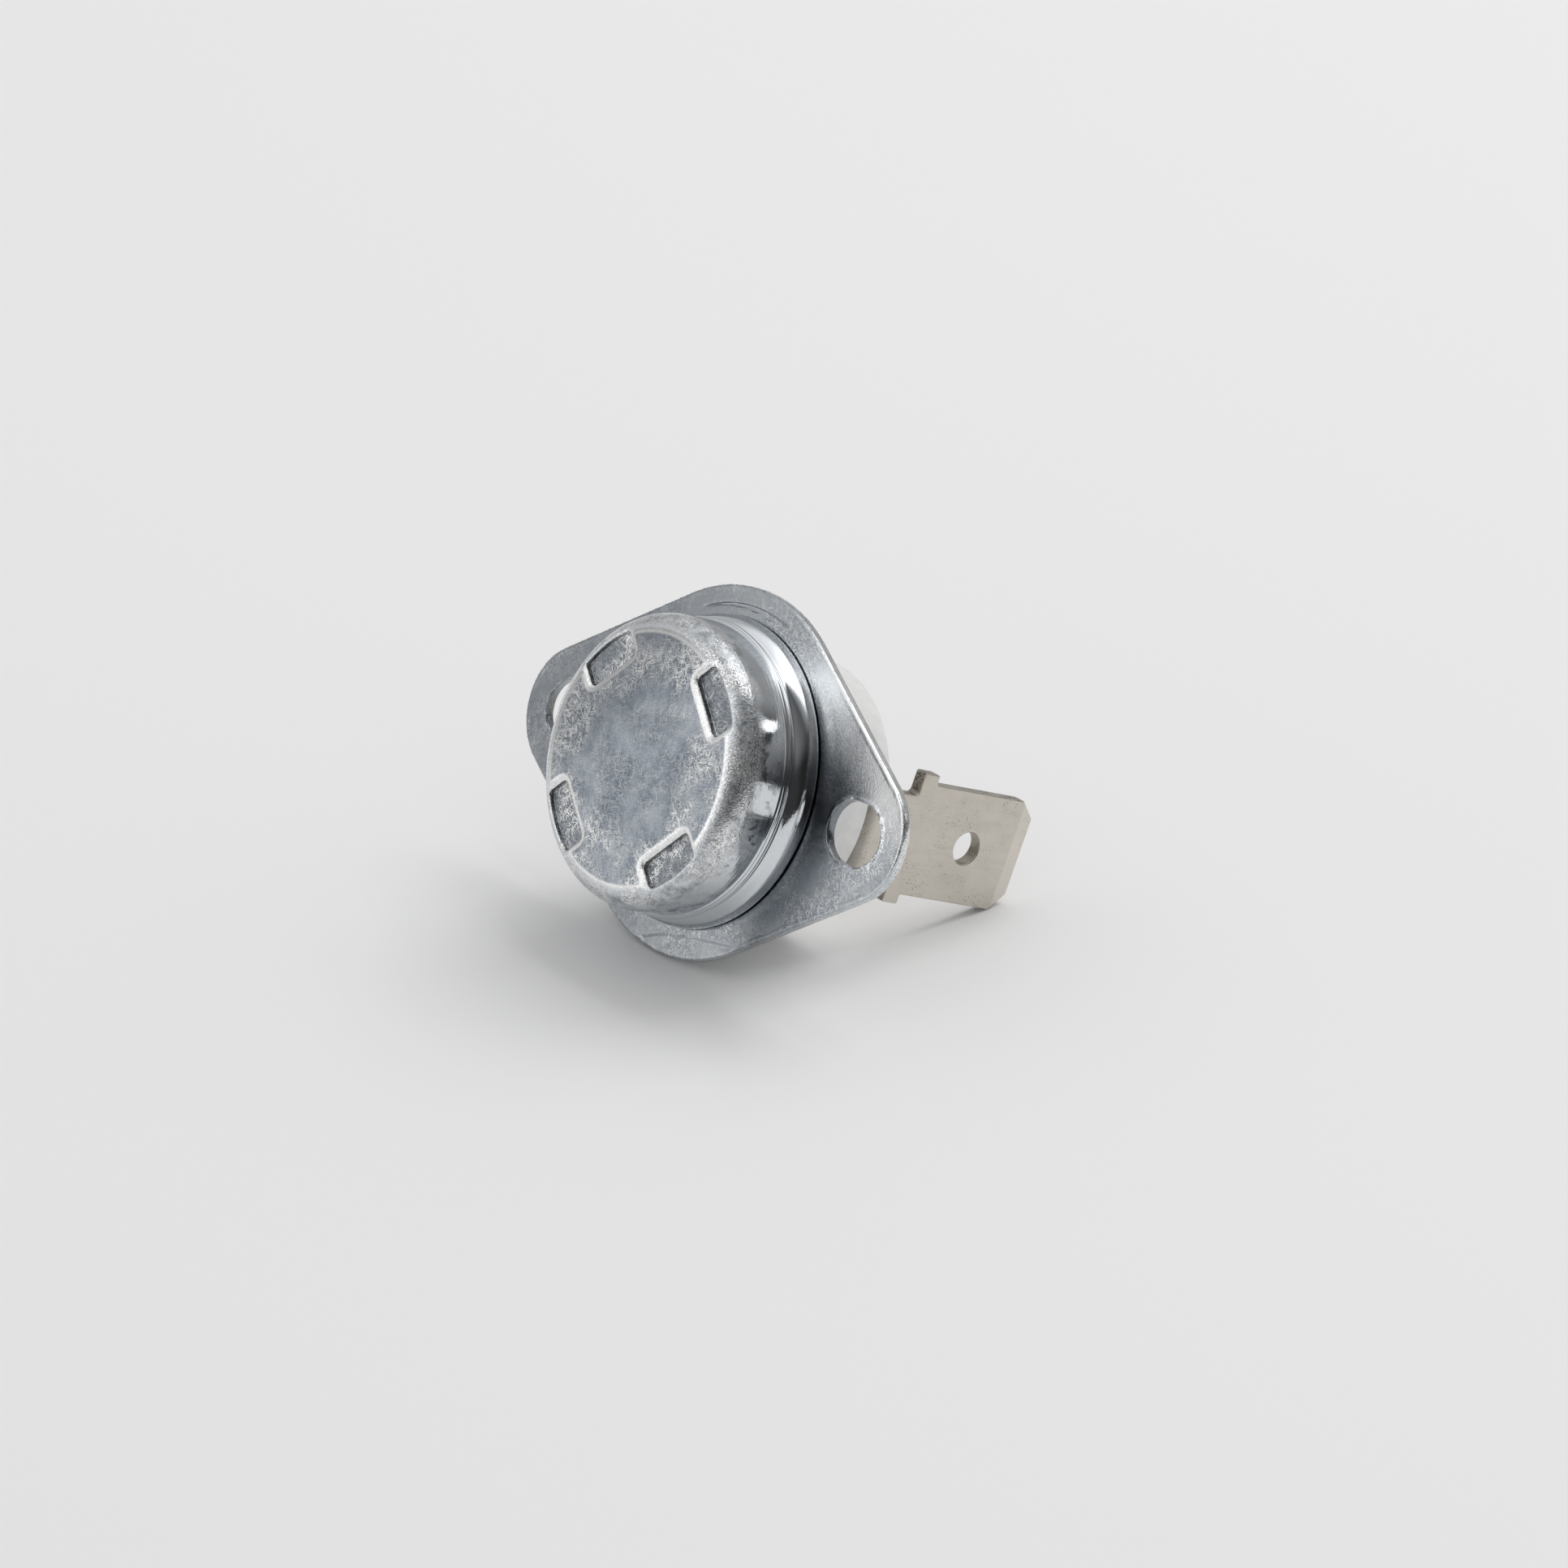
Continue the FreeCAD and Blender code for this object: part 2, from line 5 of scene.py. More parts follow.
import json
import logging
import math
from collections.abc import Callable, Sequence
from dataclasses import dataclass, field
from enum import Enum

import bmesh
import bpy
import numpy as np
from mathutils import Matrix, Vector, noise
from mathutils.geometry import delaunay_2d_cdt

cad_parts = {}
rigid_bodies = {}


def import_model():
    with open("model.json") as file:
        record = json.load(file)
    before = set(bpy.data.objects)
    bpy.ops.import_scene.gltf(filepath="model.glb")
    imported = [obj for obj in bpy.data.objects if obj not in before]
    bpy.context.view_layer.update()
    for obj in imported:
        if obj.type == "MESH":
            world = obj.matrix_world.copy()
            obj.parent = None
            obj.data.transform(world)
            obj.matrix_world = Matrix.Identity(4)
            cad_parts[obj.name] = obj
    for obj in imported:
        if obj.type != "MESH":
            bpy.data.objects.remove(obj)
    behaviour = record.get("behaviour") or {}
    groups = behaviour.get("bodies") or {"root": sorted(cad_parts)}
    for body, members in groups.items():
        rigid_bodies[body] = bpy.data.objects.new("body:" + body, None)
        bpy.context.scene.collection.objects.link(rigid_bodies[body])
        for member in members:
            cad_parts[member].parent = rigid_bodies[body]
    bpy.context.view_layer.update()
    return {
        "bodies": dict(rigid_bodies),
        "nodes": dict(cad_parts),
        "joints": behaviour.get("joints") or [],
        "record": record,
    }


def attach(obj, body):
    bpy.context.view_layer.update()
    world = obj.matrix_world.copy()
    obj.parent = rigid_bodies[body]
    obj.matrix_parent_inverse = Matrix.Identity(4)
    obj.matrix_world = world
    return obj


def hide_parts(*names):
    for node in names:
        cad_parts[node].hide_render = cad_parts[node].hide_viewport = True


LOG = logging.getLogger("thermostat_scene")

MM = 0.001

# The table that the object lies on, in millimetres from the centre of the sensing face: it touches
# the corners of both tabs and the flange's edge.
FLOOR_NORMAL = Vector((0.0640, -0.4110, 0.9100)).normalized()
FLOOR_POINT = Vector((-0.72, 5.90, -10.16))
OBJECT_MIDDLE = Vector((0.0, 10.0, 0.0))
# Turn of the body in the flange at rest, and the angle above which a solid's edge is a crease.
BODY_TURN = math.radians(4.0)
SOLID_CREASE = math.radians(30.0)


class Side(Enum):
    """The two terminals, by the way each stands from the middle."""

    RIGHT = 0.0
    LEFT = math.pi


def smooth_step(low: float, high: float, value: np.ndarray) -> np.ndarray:
    """Rises smoothly from 0 at low to 1 at high.

    Args:
        low: Value where the rise starts.
        high: Value where it ends.
        value: Values to map.

    Returns:
        The mapped values.
    """
    share = np.clip((value - low) / (high - low), 0.0, 1.0)
    return share * share * (3.0 - 2.0 * share)


def linear_colour(code: str) -> tuple[float, float, float, float]:
    """Turns an sRGB hex code to a linear colour.

    Args:
        code: Six hex digits after a hash sign.

    Returns:
        Linear red, green, blue and an alpha of 1.
    """
    parts = [int(code[index : index + 2], 16) / 255.0 for index in (1, 3, 5)]
    values = [part / 12.92 if part <= 0.04045 else ((part + 0.055) / 1.055) ** 2.4 for part in parts]
    return (values[0], values[1], values[2], 1.0)


def arc_points(
    centre: tuple[float, float], radius: float, start: float, end: float, count: int
) -> list[tuple[float, float]]:
    """Samples an arc.

    Args:
        centre: Centre of the arc.
        radius: Its radius.
        start: First angle in degrees.
        end: Last angle in degrees.
        count: Number of points, both ends included.

    Returns:
        The points in order.
    """
    angles = np.radians(np.linspace(start, end, count))
    return [(centre[0] + radius * math.cos(a), centre[1] + radius * math.sin(a)) for a in angles]


def inside(polygon: np.ndarray, points: np.ndarray) -> np.ndarray:
    """Tells which points lie in a polygon.

    Args:
        polygon: Corners, one row each.
        points: Points to test, one row each.

    Returns:
        One truth value for each point.
    """
    crossings = np.zeros(len(points), int)
    nexts = np.roll(polygon, -1, axis=0)
    for (x0, y0), (x1, y1) in zip(polygon, nexts):
        if y0 == y1:
            continue
        spans = (points[:, 1] >= min(y0, y1)) & (points[:, 1] < max(y0, y1))
        meets = x0 + (points[:, 1] - y0) * (x1 - x0) / (y1 - y0)
        crossings += spans & (points[:, 0] < meets)
    return crossings % 2 == 1


def fill(loops: Sequence[np.ndarray], holes: Sequence[int], extra: np.ndarray) -> tuple[np.ndarray, list]:
    """Fills the area inside the first loop and outside the loops named as holes with triangles.

    Args:
        loops: Closed loops of points. The first one is the outer edge.
        holes: Places in loops of those that stay open.
        extra: More points that the triangles use.

    Returns:
        The points used, loops first and in order, and the triangles as index triples.
    """
    low, high = loops[0].min(axis=0) - 1.0, loops[0].max(axis=0) + 1.0
    frame = np.array([low, (high[0], low[1]), high, (low[0], high[1])])
    points = np.vstack([*loops, extra, frame])
    edges = []
    start = 0
    for loop in loops:
        count = len(loop)
        edges += [(start + index, start + (index + 1) % count) for index in range(count)]
        start += count
    vectors = [Vector((x, y)) for x, y in points]
    found, _, faces, origins, _, _ = delaunay_2d_cdt(vectors, edges, [], 0, 1e-7)
    source = [min(ids) for ids in origins]
    triangles = np.array([[source[corner] for corner in face] for face in faces])
    centres = points[triangles].mean(axis=1)
    keep = inside(loops[0], centres)
    for hole in holes:
        keep &= ~inside(loops[hole], centres)
    return points[: -len(frame)], [tuple(int(corner) for corner in row) for row in triangles[keep]]


def add_node(
    tree: bpy.types.NodeTree,
    kind: str,
    settings: dict[str, object] | None = None,
    inputs: dict[str | int, object] | None = None,
) -> bpy.types.Node:
    """Adds one node to a tree.

    Args:
        tree: Tree that receives the node.
        kind: Type name of the node.
        settings: Properties of the node.
        inputs: Values of its sockets, or the sockets that feed them.

    Returns:
        The new node.
    """
    node = tree.nodes.new(kind)
    for name, value in (settings or {}).items():
        setattr(node, name, value)
    for key, value in (inputs or {}).items():
        if isinstance(value, bpy.types.NodeSocket):
            tree.links.new(value, node.inputs[key])
        else:
            node.inputs[key].default_value = value
    return node


@dataclass
class Shell:
    """Corners and faces of one closed piece, in millimetres, until it becomes a mesh."""

    corners: list[tuple[float, float, float]] = field(default_factory=list)
    faces: list[tuple[int, ...]] = field(default_factory=list)
    cut_faces: list[int] = field(default_factory=list)

    def add(self, corners: Sequence[Sequence[float]], faces: Sequence[Sequence[int]] = ()) -> int:
        """Adds corners and the faces between them.

        Args:
            corners: New corners.
            faces: Faces that count from the first new corner.

        Returns:
            Place of the first new corner.
        """
        start = len(self.corners)
        self.corners += [tuple(float(value) for value in corner) for corner in corners]
        self.faces += [tuple(start + index for index in face) for face in faces]
        return start

    def bridge(self, first: int, second: int, count: int, cut: bool = False) -> None:
        """Joins two rings of equal count with four-sided faces.

        Args:
            first: Place of the first ring's first corner.
            second: Place of the second ring's first corner.
            count: Number of corners in a ring.
            cut: True where the faces lie on a cut edge, which takes the second material.
        """
        if cut:
            self.cut_faces += range(len(self.faces), len(self.faces) + count)
        for index in range(count):
            after = (index + 1) % count
            self.faces.append((first + index, first + after, second + after, second + index))

    def to_object(self, name: str, sharp_angle: float = 38.0) -> bpy.types.Object:
        """Makes the Blender object, closed, with its faces outwards and its creases sharp.

        Args:
            name: Name of the object.
            sharp_angle: Angle in degrees above which an edge is a crease.

        Returns:
            The new object, linked to the scene.
        """
        mesh = bpy.data.meshes.new(name)
        mesh.from_pydata([[value * MM for value in corner] for corner in self.corners], [], self.faces)
        for index in self.cut_faces:
            mesh.polygons[index].material_index = 1
        form = bmesh.new()
        form.from_mesh(mesh)
        bmesh.ops.remove_doubles(form, verts=form.verts, dist=2e-7)
        loose = [corner for corner in form.verts if not corner.link_faces]
        bmesh.ops.delete(form, geom=loose, context="VERTS")
        bmesh.ops.recalc_face_normals(form, faces=form.faces)
        form.to_mesh(mesh)
        form.free()
        mesh.shade_smooth()
        mesh.set_sharp_from_angle(angle=math.radians(sharp_angle))
        made = bpy.data.objects.new(name, mesh)
        bpy.context.scene.collection.objects.link(made)
        weighted = made.modifiers.new("flat_faces_stay_flat", "WEIGHTED_NORMAL")
        weighted.keep_sharp = True
        return made


@dataclass(frozen=True)
class CapShell:
    """The drawn aluminium cap: face with dimples, wall, ridge, bulged foot, neck and rolled rim.

    All sizes are in millimetres. Depths count from the sensing face. A rise is what the wall gains
    in radius, rim_reach is the breadth of a dimple's rolled rim towards the middle and towards the
    edge, and the steps say how many points an arc or a run has.
    """

    radius: float = 8.05
    wall: float = 0.40
    edge_radius: float = 1.40
    ridge_depth: float = 3.20
    ridge_length: float = 0.65
    ridge_rise: float = 0.12
    line_rise: float = 0.016
    line_waves: int = 7
    foot_start_rise: float = 0.03
    foot_length: float = 1.25
    foot_rise: float = 0.49
    roll_radius: float = 0.42
    neck_rise: float = 0.20
    hem_front: float = 5.945
    hem_radius: float = 0.40
    lip_radius: float = 7.35
    lip_corner: float = 0.08
    dimple_inner: float = 5.50
    dimple_outer: float = 7.15
    dimple_half_width: float = 1.82
    dimple_depth: float = 0.45
    dimple_corner: float = 0.30
    rim_reach: tuple[float, float] = (0.56, 0.32)
    rim_drop: float = 0.27
    rim_margin: float = 0.06
    rim_support: float = 1.08
    floor_corner: float = 0.03
    floor_support: float = 0.025
    draft: float = 0.03
    hole_margin: float = 0.02
    point_spacing: float = 0.12
    patch_radius: float = 7.75
    edge_ring_gaps: tuple[float, float] = (0.6, 0.15)
    edge_ring_count: int = 15
    inner_rings: Sequence[tuple[int, float]] = ((12, 4.5), (30, 2.5))
    dimple_steps: tuple[int, int] = (6, 30)
    rim_steps: int = 10
    floor_steps: int = 4
    edge_steps: int = 22
    wall_steps: int = 14
    ridge_steps: int = 31
    foot_steps: int = 18
    roll_steps: int = 12
    hem_steps: int = 18
    lip_steps: int = 5
    turns: int = 360
    waviness: float = 0.012
    wave_scale: float = 2.2
    wave_stretch: float = 0.35

    def face_depth(self, radius: float) -> float:
        """Depth of the face and its rounded edge at a radius.

        Args:
            radius: Distance from the axis.

        Returns:
            Depth behind the sensing face.
        """
        across = max(0.0, radius - (self.radius - self.edge_radius))
        return self.edge_radius - math.sqrt(self.edge_radius**2 - across**2)

    def dimple_loop(self) -> tuple[np.ndarray, np.ndarray]:
        """Draws the outline of the dimple on the +X side.

        Returns:
            The outline's points and the directions that point out of the dimple.
        """
        corner = self.dimple_corner
        inner = self.dimple_inner
        half = self.dimple_half_width
        centre_high = half - corner
        near = inner + corner
        far = math.sqrt((self.dimple_outer - corner) ** 2 - centre_high**2)
        lean = math.degrees(math.atan2(centre_high, far))
        corner_steps, outer_steps = self.dimple_steps
        points: list[tuple[float, float]] = []
        normals: list[tuple[float, float]] = []

        def corner_run(x: float, y: float, start: float, end: float) -> None:
            """Adds a rounded corner.

            Args:
                x: First coordinate of its centre.
                y: Second coordinate of its centre.
                start: First angle in degrees.
                end: Last angle in degrees.
            """
            for nx, ny in arc_points((0.0, 0.0), 1.0, start, end, corner_steps):
                points.append((x + corner * nx, y + corner * ny))
                normals.append((nx, ny))

        def straight(x0: float, y0: float, x1: float, y1: float, nx: float, ny: float) -> None:
            """Adds the points between the ends of a straight side.

            Args:
                x0: First coordinate of its start.
                y0: Second coordinate of its start.
                x1: First coordinate of its end.
                y1: Second coordinate of its end.
                nx: First part of its outward direction.
                ny: Second part of its outward direction.
            """
            steps = max(2, round(math.hypot(x1 - x0, y1 - y0) / self.point_spacing))
            for step in range(1, steps):
                share = step / steps
                points.append((x0 + (x1 - x0) * share, y0 + (y1 - y0) * share))
                normals.append((nx, ny))

        corner_run(near, -centre_high, 270.0, 180.0)
        straight(inner, -centre_high, inner, centre_high, -1.0, 0.0)
        corner_run(near, centre_high, 180.0, 90.0)
        straight(near, half, far, half, 0.0, 1.0)
        corner_run(far, centre_high, 90.0, lean)
        for nx, ny in arc_points((0.0, 0.0), 1.0, lean, -lean, outer_steps)[1:-1]:
            points.append((self.dimple_outer * nx, self.dimple_outer * ny))
            normals.append((nx, ny))
        corner_run(far, -centre_high, -lean, -90.0)
        straight(far, -half, near, -half, 0.0, -1.0)
        return np.array(points), np.array(normals)

    def dimple_rings(self) -> list[tuple[float, float, float, float]]:
        """Lists the rings round the dimple, from the face over its rolled rim down to its floor.

        Returns:
            For each ring its share of the rim's reach, a further offset, its share of the rim's
            drop, which is -1 where the ring has a fixed depth instead, and that depth.
        """
        rings = [(self.rim_support, 0.0, 0.0, 0.0)]
        for angle in np.radians(np.linspace(0.0, 90.0, self.rim_steps)):
            rings.append((1.0 - math.sin(angle), 0.0, 1.0 - math.cos(angle), 0.0))
        corner = self.floor_corner
        for angle in np.radians(np.linspace(0.0, 90.0, self.floor_steps)):
            offset = -self.draft - corner * (1.0 - math.cos(angle))
            rings.append((0.0, offset, -1.0, self.dimple_depth - corner * (1.0 - math.sin(angle))))
        rings.append((0.0, -self.draft - corner - self.floor_support, -1.0, self.dimple_depth))
        return rings

    def add_face(self, shell: Shell, lift: float) -> int:
        """Adds the face with its dimples, out to the patch radius.

        Args:
            shell: Shell that receives the face.
            lift: Distance by which the face is set back.

        Returns:
            Place of the outer ring's first corner.
        """
        loop, normals = self.dimple_loop()
        rings = self.dimple_rings()
        wide, narrow = self.rim_reach
        reach = wide - (wide - narrow) * smooth_step(0.0, 1.0, normals[:, 0])
        angles = 2 * math.pi * np.arange(self.turns) / self.turns
        circle = np.column_stack([np.cos(angles), np.sin(angles)])
        loops = [circle * self.patch_radius]
        for quarter in range(4):
            turn = math.radians(45.0 + 90.0 * quarter)
            spin = np.array([[math.cos(turn), math.sin(turn)], [-math.sin(turn), math.cos(turn)]])
            placed = loop @ spin
            directions = normals @ spin
            starts = []
            outlines = []
            for share, offset, drop, depth in rings:
                points = placed + directions * (share * reach + offset)[:, None]
                bases = np.array([self.face_depth(math.hypot(x, z)) for x, z in points])
                rim = np.minimum(self.rim_drop, self.dimple_depth - self.rim_margin - bases)
                depths = bases + drop * rim if drop >= 0.0 else np.full(len(points), depth)
                starts.append(shell.add([(x, y + lift, z) for (x, z), y in zip(points, depths)]))
                outlines.append(points)
            for first, second in zip(starts, starts[1:]):
                shell.bridge(first, second, len(placed))
            floor_points, floor_faces = fill([outlines[-1]], [], np.empty((0, 2)))
            shell.add([(x, self.dimple_depth + lift, z) for x, z in floor_points], floor_faces)
            loops.append(outlines[0])
        flat = self.radius - self.edge_radius
        radii = [flat - gap for gap in self.edge_ring_gaps]
        radii += list(np.linspace(flat, self.patch_radius - 0.05, self.edge_ring_count))
        circles = [circle * radius for radius in radii]
        circles += [circle[::step] * radius for step, radius in self.inner_rings]
        background = np.vstack(circles)
        clear = np.ones(len(background), bool)
        for hole in loops[1:]:
            grown = hole + (hole - hole.mean(axis=0)) * self.hole_margin
            clear &= ~inside(grown, background)
        points, faces = fill(loops, [1, 2, 3, 4], background[clear])
        corners = [(x, self.face_depth(math.hypot(x, z)) + lift, z) for x, z in points]
        return shell.add(corners, faces)

    def profile(self) -> list[tuple[float, float]]:
        """Draws the section from the outside of the face, round the rolled rim, to the inside.

        Returns:
            Pairs of radius and depth.
        """
        flat = self.radius - self.edge_radius
        first = -math.degrees(math.acos((self.patch_radius - flat) / self.edge_radius))
        run = arc_points((flat, self.edge_radius), self.edge_radius, first, 0.0, self.edge_steps)[1:]
        wall_depths = np.linspace(self.edge_radius + 0.1, self.ridge_depth - 0.05, self.wall_steps)
        run += [(self.radius, depth) for depth in wall_depths]
        run.append((self.radius, self.ridge_depth))
        start_radius = self.radius + self.foot_start_rise
        for share in np.linspace(0.0, 1.0, self.ridge_steps)[1:]:
            lines = self.line_rise * math.cos(self.line_waves * math.pi * share)
            bow = self.ridge_rise * math.sin(math.pi * share) - lines
            depth = self.ridge_depth + self.ridge_length * share
            run.append((self.radius + self.foot_start_rise * share + bow, depth))
        crest_radius = self.radius + self.foot_rise
        crest = self.ridge_depth + self.ridge_length + self.foot_length
        rise = crest_radius - start_radius
        arc_radius = (rise**2 + self.foot_length**2) / (2 * rise)
        lowest = -math.degrees(math.asin(self.foot_length / arc_radius))
        foot_centre = (crest_radius - arc_radius, crest)
        run += arc_points(foot_centre, arc_radius, lowest, 0.0, self.foot_steps)[1:]
        roll_centre = crest_radius - self.roll_radius
        neck = self.radius + self.neck_rise
        last = math.degrees(math.acos((neck - roll_centre) / self.roll_radius))
        run += arc_points((roll_centre, crest), self.roll_radius, 0.0, last, self.roll_steps)[1:]
        run += [(neck, self.hem_front - 0.01), (neck, self.hem_front)]
        hem_reach = neck + 0.5 * self.hem_radius
        run += [(hem_reach - 0.05, self.hem_front)]
        hem_centre = (hem_reach, self.hem_front + self.hem_radius)
        run += arc_points(hem_centre, self.hem_radius, -90.0, 90.0, self.hem_steps)
        hem_back = self.hem_front + 2 * self.hem_radius
        run += [(self.lip_radius + 1.5 * self.lip_corner, hem_back)]
        lip_centre = (self.lip_radius + self.lip_corner, hem_back - self.lip_corner)
        run += arc_points(lip_centre, self.lip_corner, 90.0, 180.0, self.lip_steps)
        run += [(self.lip_radius, hem_back - self.hem_radius)]
        inner_neck = neck - self.wall
        run += [(inner_neck, hem_back - self.hem_radius), (inner_neck, crest + 0.3)]
        run += [(crest_radius - self.wall, crest)]
        run += [(start_radius - self.wall, self.ridge_depth + self.ridge_length)]
        run += [(self.radius - self.wall, self.ridge_depth), (self.radius - self.wall, self.edge_radius)]
        return run

    def build(self) -> bpy.types.Object:
        """Makes the cap as one closed shell.

        Returns:
            The cap's object.
        """
        shell = Shell()
        outer = self.add_face(shell, 0.0)
        inner = self.add_face(shell, self.wall)
        angles = 2 * math.pi * np.arange(self.turns) / self.turns
        last = outer
        for radius, depth in self.profile():
            outside = radius > self.radius - 0.01 and depth < self.hem_front - 0.2
            corners = []
            for angle in angles:
                x, z = math.cos(angle), math.sin(angle)
                wave = 0.0
                if outside:
                    spot = Vector((x * self.wave_scale, depth * self.wave_stretch, z * self.wave_scale))
                    wave = self.waviness * noise.noise(spot)
                corners.append((x * (radius + wave), depth, z * (radius + wave)))
            ring = shell.add(corners)
            shell.bridge(last, ring, self.turns)
            last = ring
        shell.bridge(last, inner, self.turns)
        return shell.to_object("sensing_cap_shell")


@dataclass(frozen=True)
class Rim:
    """One closed edge of a stamped sheet: points, and directions that point out of the sheet."""

    points: np.ndarray
    outward: np.ndarray


# How a burr rises to a stamped edge: distance before the edge's round in millimetres, and the
# share of the burr's height that it has there.
BURR_SLOPE = ((0.26, 0.0), (0.20, 0.12), (0.14, 0.45), (0.08, 0.85))
# Number of points on a rounded corner of a stamped sheet.
CORNER_STEPS = 6


@dataclass(frozen=True)
class EdgeForm:
    """How a stamped edge is rounded: the die roll at the front and the burr side at the back."""

    front_radius: float
    back_radius: float
    front_steps: int = 6
    back_steps: int = 3
    support: float = 0.04
    burr: float = 0.0

    def rings(self, thickness: float) -> list[tuple[float, float]]:
        """Insets and depths of the rings from the front face to the back face.

        Args:
            thickness: Thickness of the sheet.

        Returns:
            Pairs of inset from the edge and depth from the front face.
        """
        rings = [(self.front_radius + self.support, 0.0)]
        if self.burr:
            rings = [(self.front_radius + reach, -self.burr * share) for reach, share in BURR_SLOPE]
        for angle in np.radians(np.linspace(0.0, 90.0, self.front_steps)):
            depth = self.front_radius * (1 - math.cos(angle)) - self.burr * math.cos(angle)
            rings.append((self.front_radius * (1 - math.sin(angle)), depth))
        for angle in np.radians(np.linspace(0.0, 90.0, self.back_steps)):
            inset = self.back_radius * (1 - math.cos(angle))
            rings.append((inset, thickness - self.back_radius * (1 - math.sin(angle))))
        rings.append((self.back_radius + self.support, thickness))
        return rings


def round_rim(centre: tuple[float, float], radius: float, count: int) -> Rim:
    """The edge of a round hole.

    Args:
        centre: Centre of the hole.
        radius: Its radius.
        count: Number of points.

    Returns:
        The rim, whose outward directions point to the centre.
    """
    angles = 2 * math.pi * np.arange(count) / count
    circle = np.column_stack([np.cos(angles), np.sin(angles)])
    return Rim(np.array(centre) + circle * radius, -circle)


def corner_rim(corners: Sequence[tuple[float, float, float]], spacing: float) -> Rim:
    """The outer edge of a sheet with rounded corners, going anticlockwise.

    Args:
        corners: Each corner's two coordinates and its radius.
        spacing: Greatest distance between points on a straight run.

    Returns:
        The rim.
    """
    count = len(corners)
    points: list[np.ndarray] = []
    outward: list[np.ndarray] = []
    runs = []
    for index in range(count):
        before = np.array(corners[index - 1][:2])
        here = np.array(corners[index][:2])
        after = np.array(corners[(index + 1) % count][:2])
        into = (here - before) / np.linalg.norm(here - before)
        out = (after - here) / np.linalg.norm(after - here)
        turn = math.atan2(into[0] * out[1] - into[1] * out[0], into @ out)
        radius = corners[index][2]
        reach = radius * abs(math.tan(0.5 * turn))
        runs.append((here, into, out, turn, radius, reach))
    for index, (here, into, out, turn, radius, reach) in enumerate(runs):
        side = 1.0 if turn > 0 else -1.0
        first = np.array([into[1], -into[0]])
        centre = here - into * reach - side * first * radius
        for share in np.linspace(0.0, 1.0, CORNER_STEPS):
            angle = turn * share
            spin = np.array([[math.cos(angle), -math.sin(angle)], [math.sin(angle), math.cos(angle)]])
            direction = spin @ first
            points.append(centre + side * direction * radius)
            outward.append(direction)
        following = runs[(index + 1) % count]
        start = here + out * reach
        end = following[0] - out * following[5]
        steps = max(1, math.ceil(np.linalg.norm(end - start) / spacing))
        direction = np.array([out[1], -out[0]])
        for step in range(1, steps):
            points.append(start + (end - start) * step / steps)
            outward.append(direction)
    return Rim(np.array(points), np.array(outward))


@dataclass(frozen=True)
class StampedSheet:
    """A sheet cut along its rims, with formed edges, that place carries into the row frame."""

    thickness: float
    rims: Sequence[Rim]
    forms: Sequence[EdgeForm]
    extra: np.ndarray
    place: Callable[[np.ndarray, np.ndarray, np.ndarray], np.ndarray]
    ripple: float = 0.0
    ripple_scale: float = 3.1
    ripple_layering: float = 2.0
    cut_edges: bool = False

    def edge_ring(self, rim: Rim, inset: float, depth: float) -> np.ndarray:
        """Draws one ring of a formed edge, which is rippled on the cut side of the sheet.

        Args:
            rim: Edge that the ring follows.
            inset: Distance of the ring from the edge.
            depth: Depth of the ring from the front face.

        Returns:
            The ring's points in the flat sheet.
        """
        flat = rim.points - rim.outward * inset
        if self.ripple and 0 < depth:
            scale = self.ripple_scale
            layer = depth * self.ripple_layering
            shake = np.array([noise.noise(Vector((x * scale, y * scale, layer))) for x, y in flat])
            flat = flat + rim.outward * (self.ripple * shake)[:, None]
        return flat

    def build(self, name: str) -> bpy.types.Object:
        """Makes the sheet as one closed shell.

        Args:
            name: Name of the object.

        Returns:
            The sheet's object.
        """
        shell = Shell()
        fronts = []
        backs = []
        for rim, form in zip(self.rims, self.forms):
            starts = []
            rings = form.rings(self.thickness)
            flats = [self.edge_ring(rim, inset, depth) for inset, depth in rings]
            for flat, (_, depth) in zip(flats, rings):
                starts.append(shell.add(self.place(flat[:, 0], flat[:, 1], np.full(len(flat), depth))))
            wall = len(starts) - form.back_steps - 2
            for index, (first, second) in enumerate(zip(starts, starts[1:])):
                shell.bridge(first, second, len(rim.points), self.cut_edges and index == wall)
            fronts.append(flats[0])
            backs.append(flats[-1])
        holes = list(range(1, len(self.rims)))
        for loops, depth in ((fronts, 0.0), (backs, self.thickness)):
            points, faces = fill(loops, holes, self.extra)
            shell.add(self.place(points[:, 0], points[:, 1], np.full(len(points), depth)), faces)
        return shell.to_object(name)


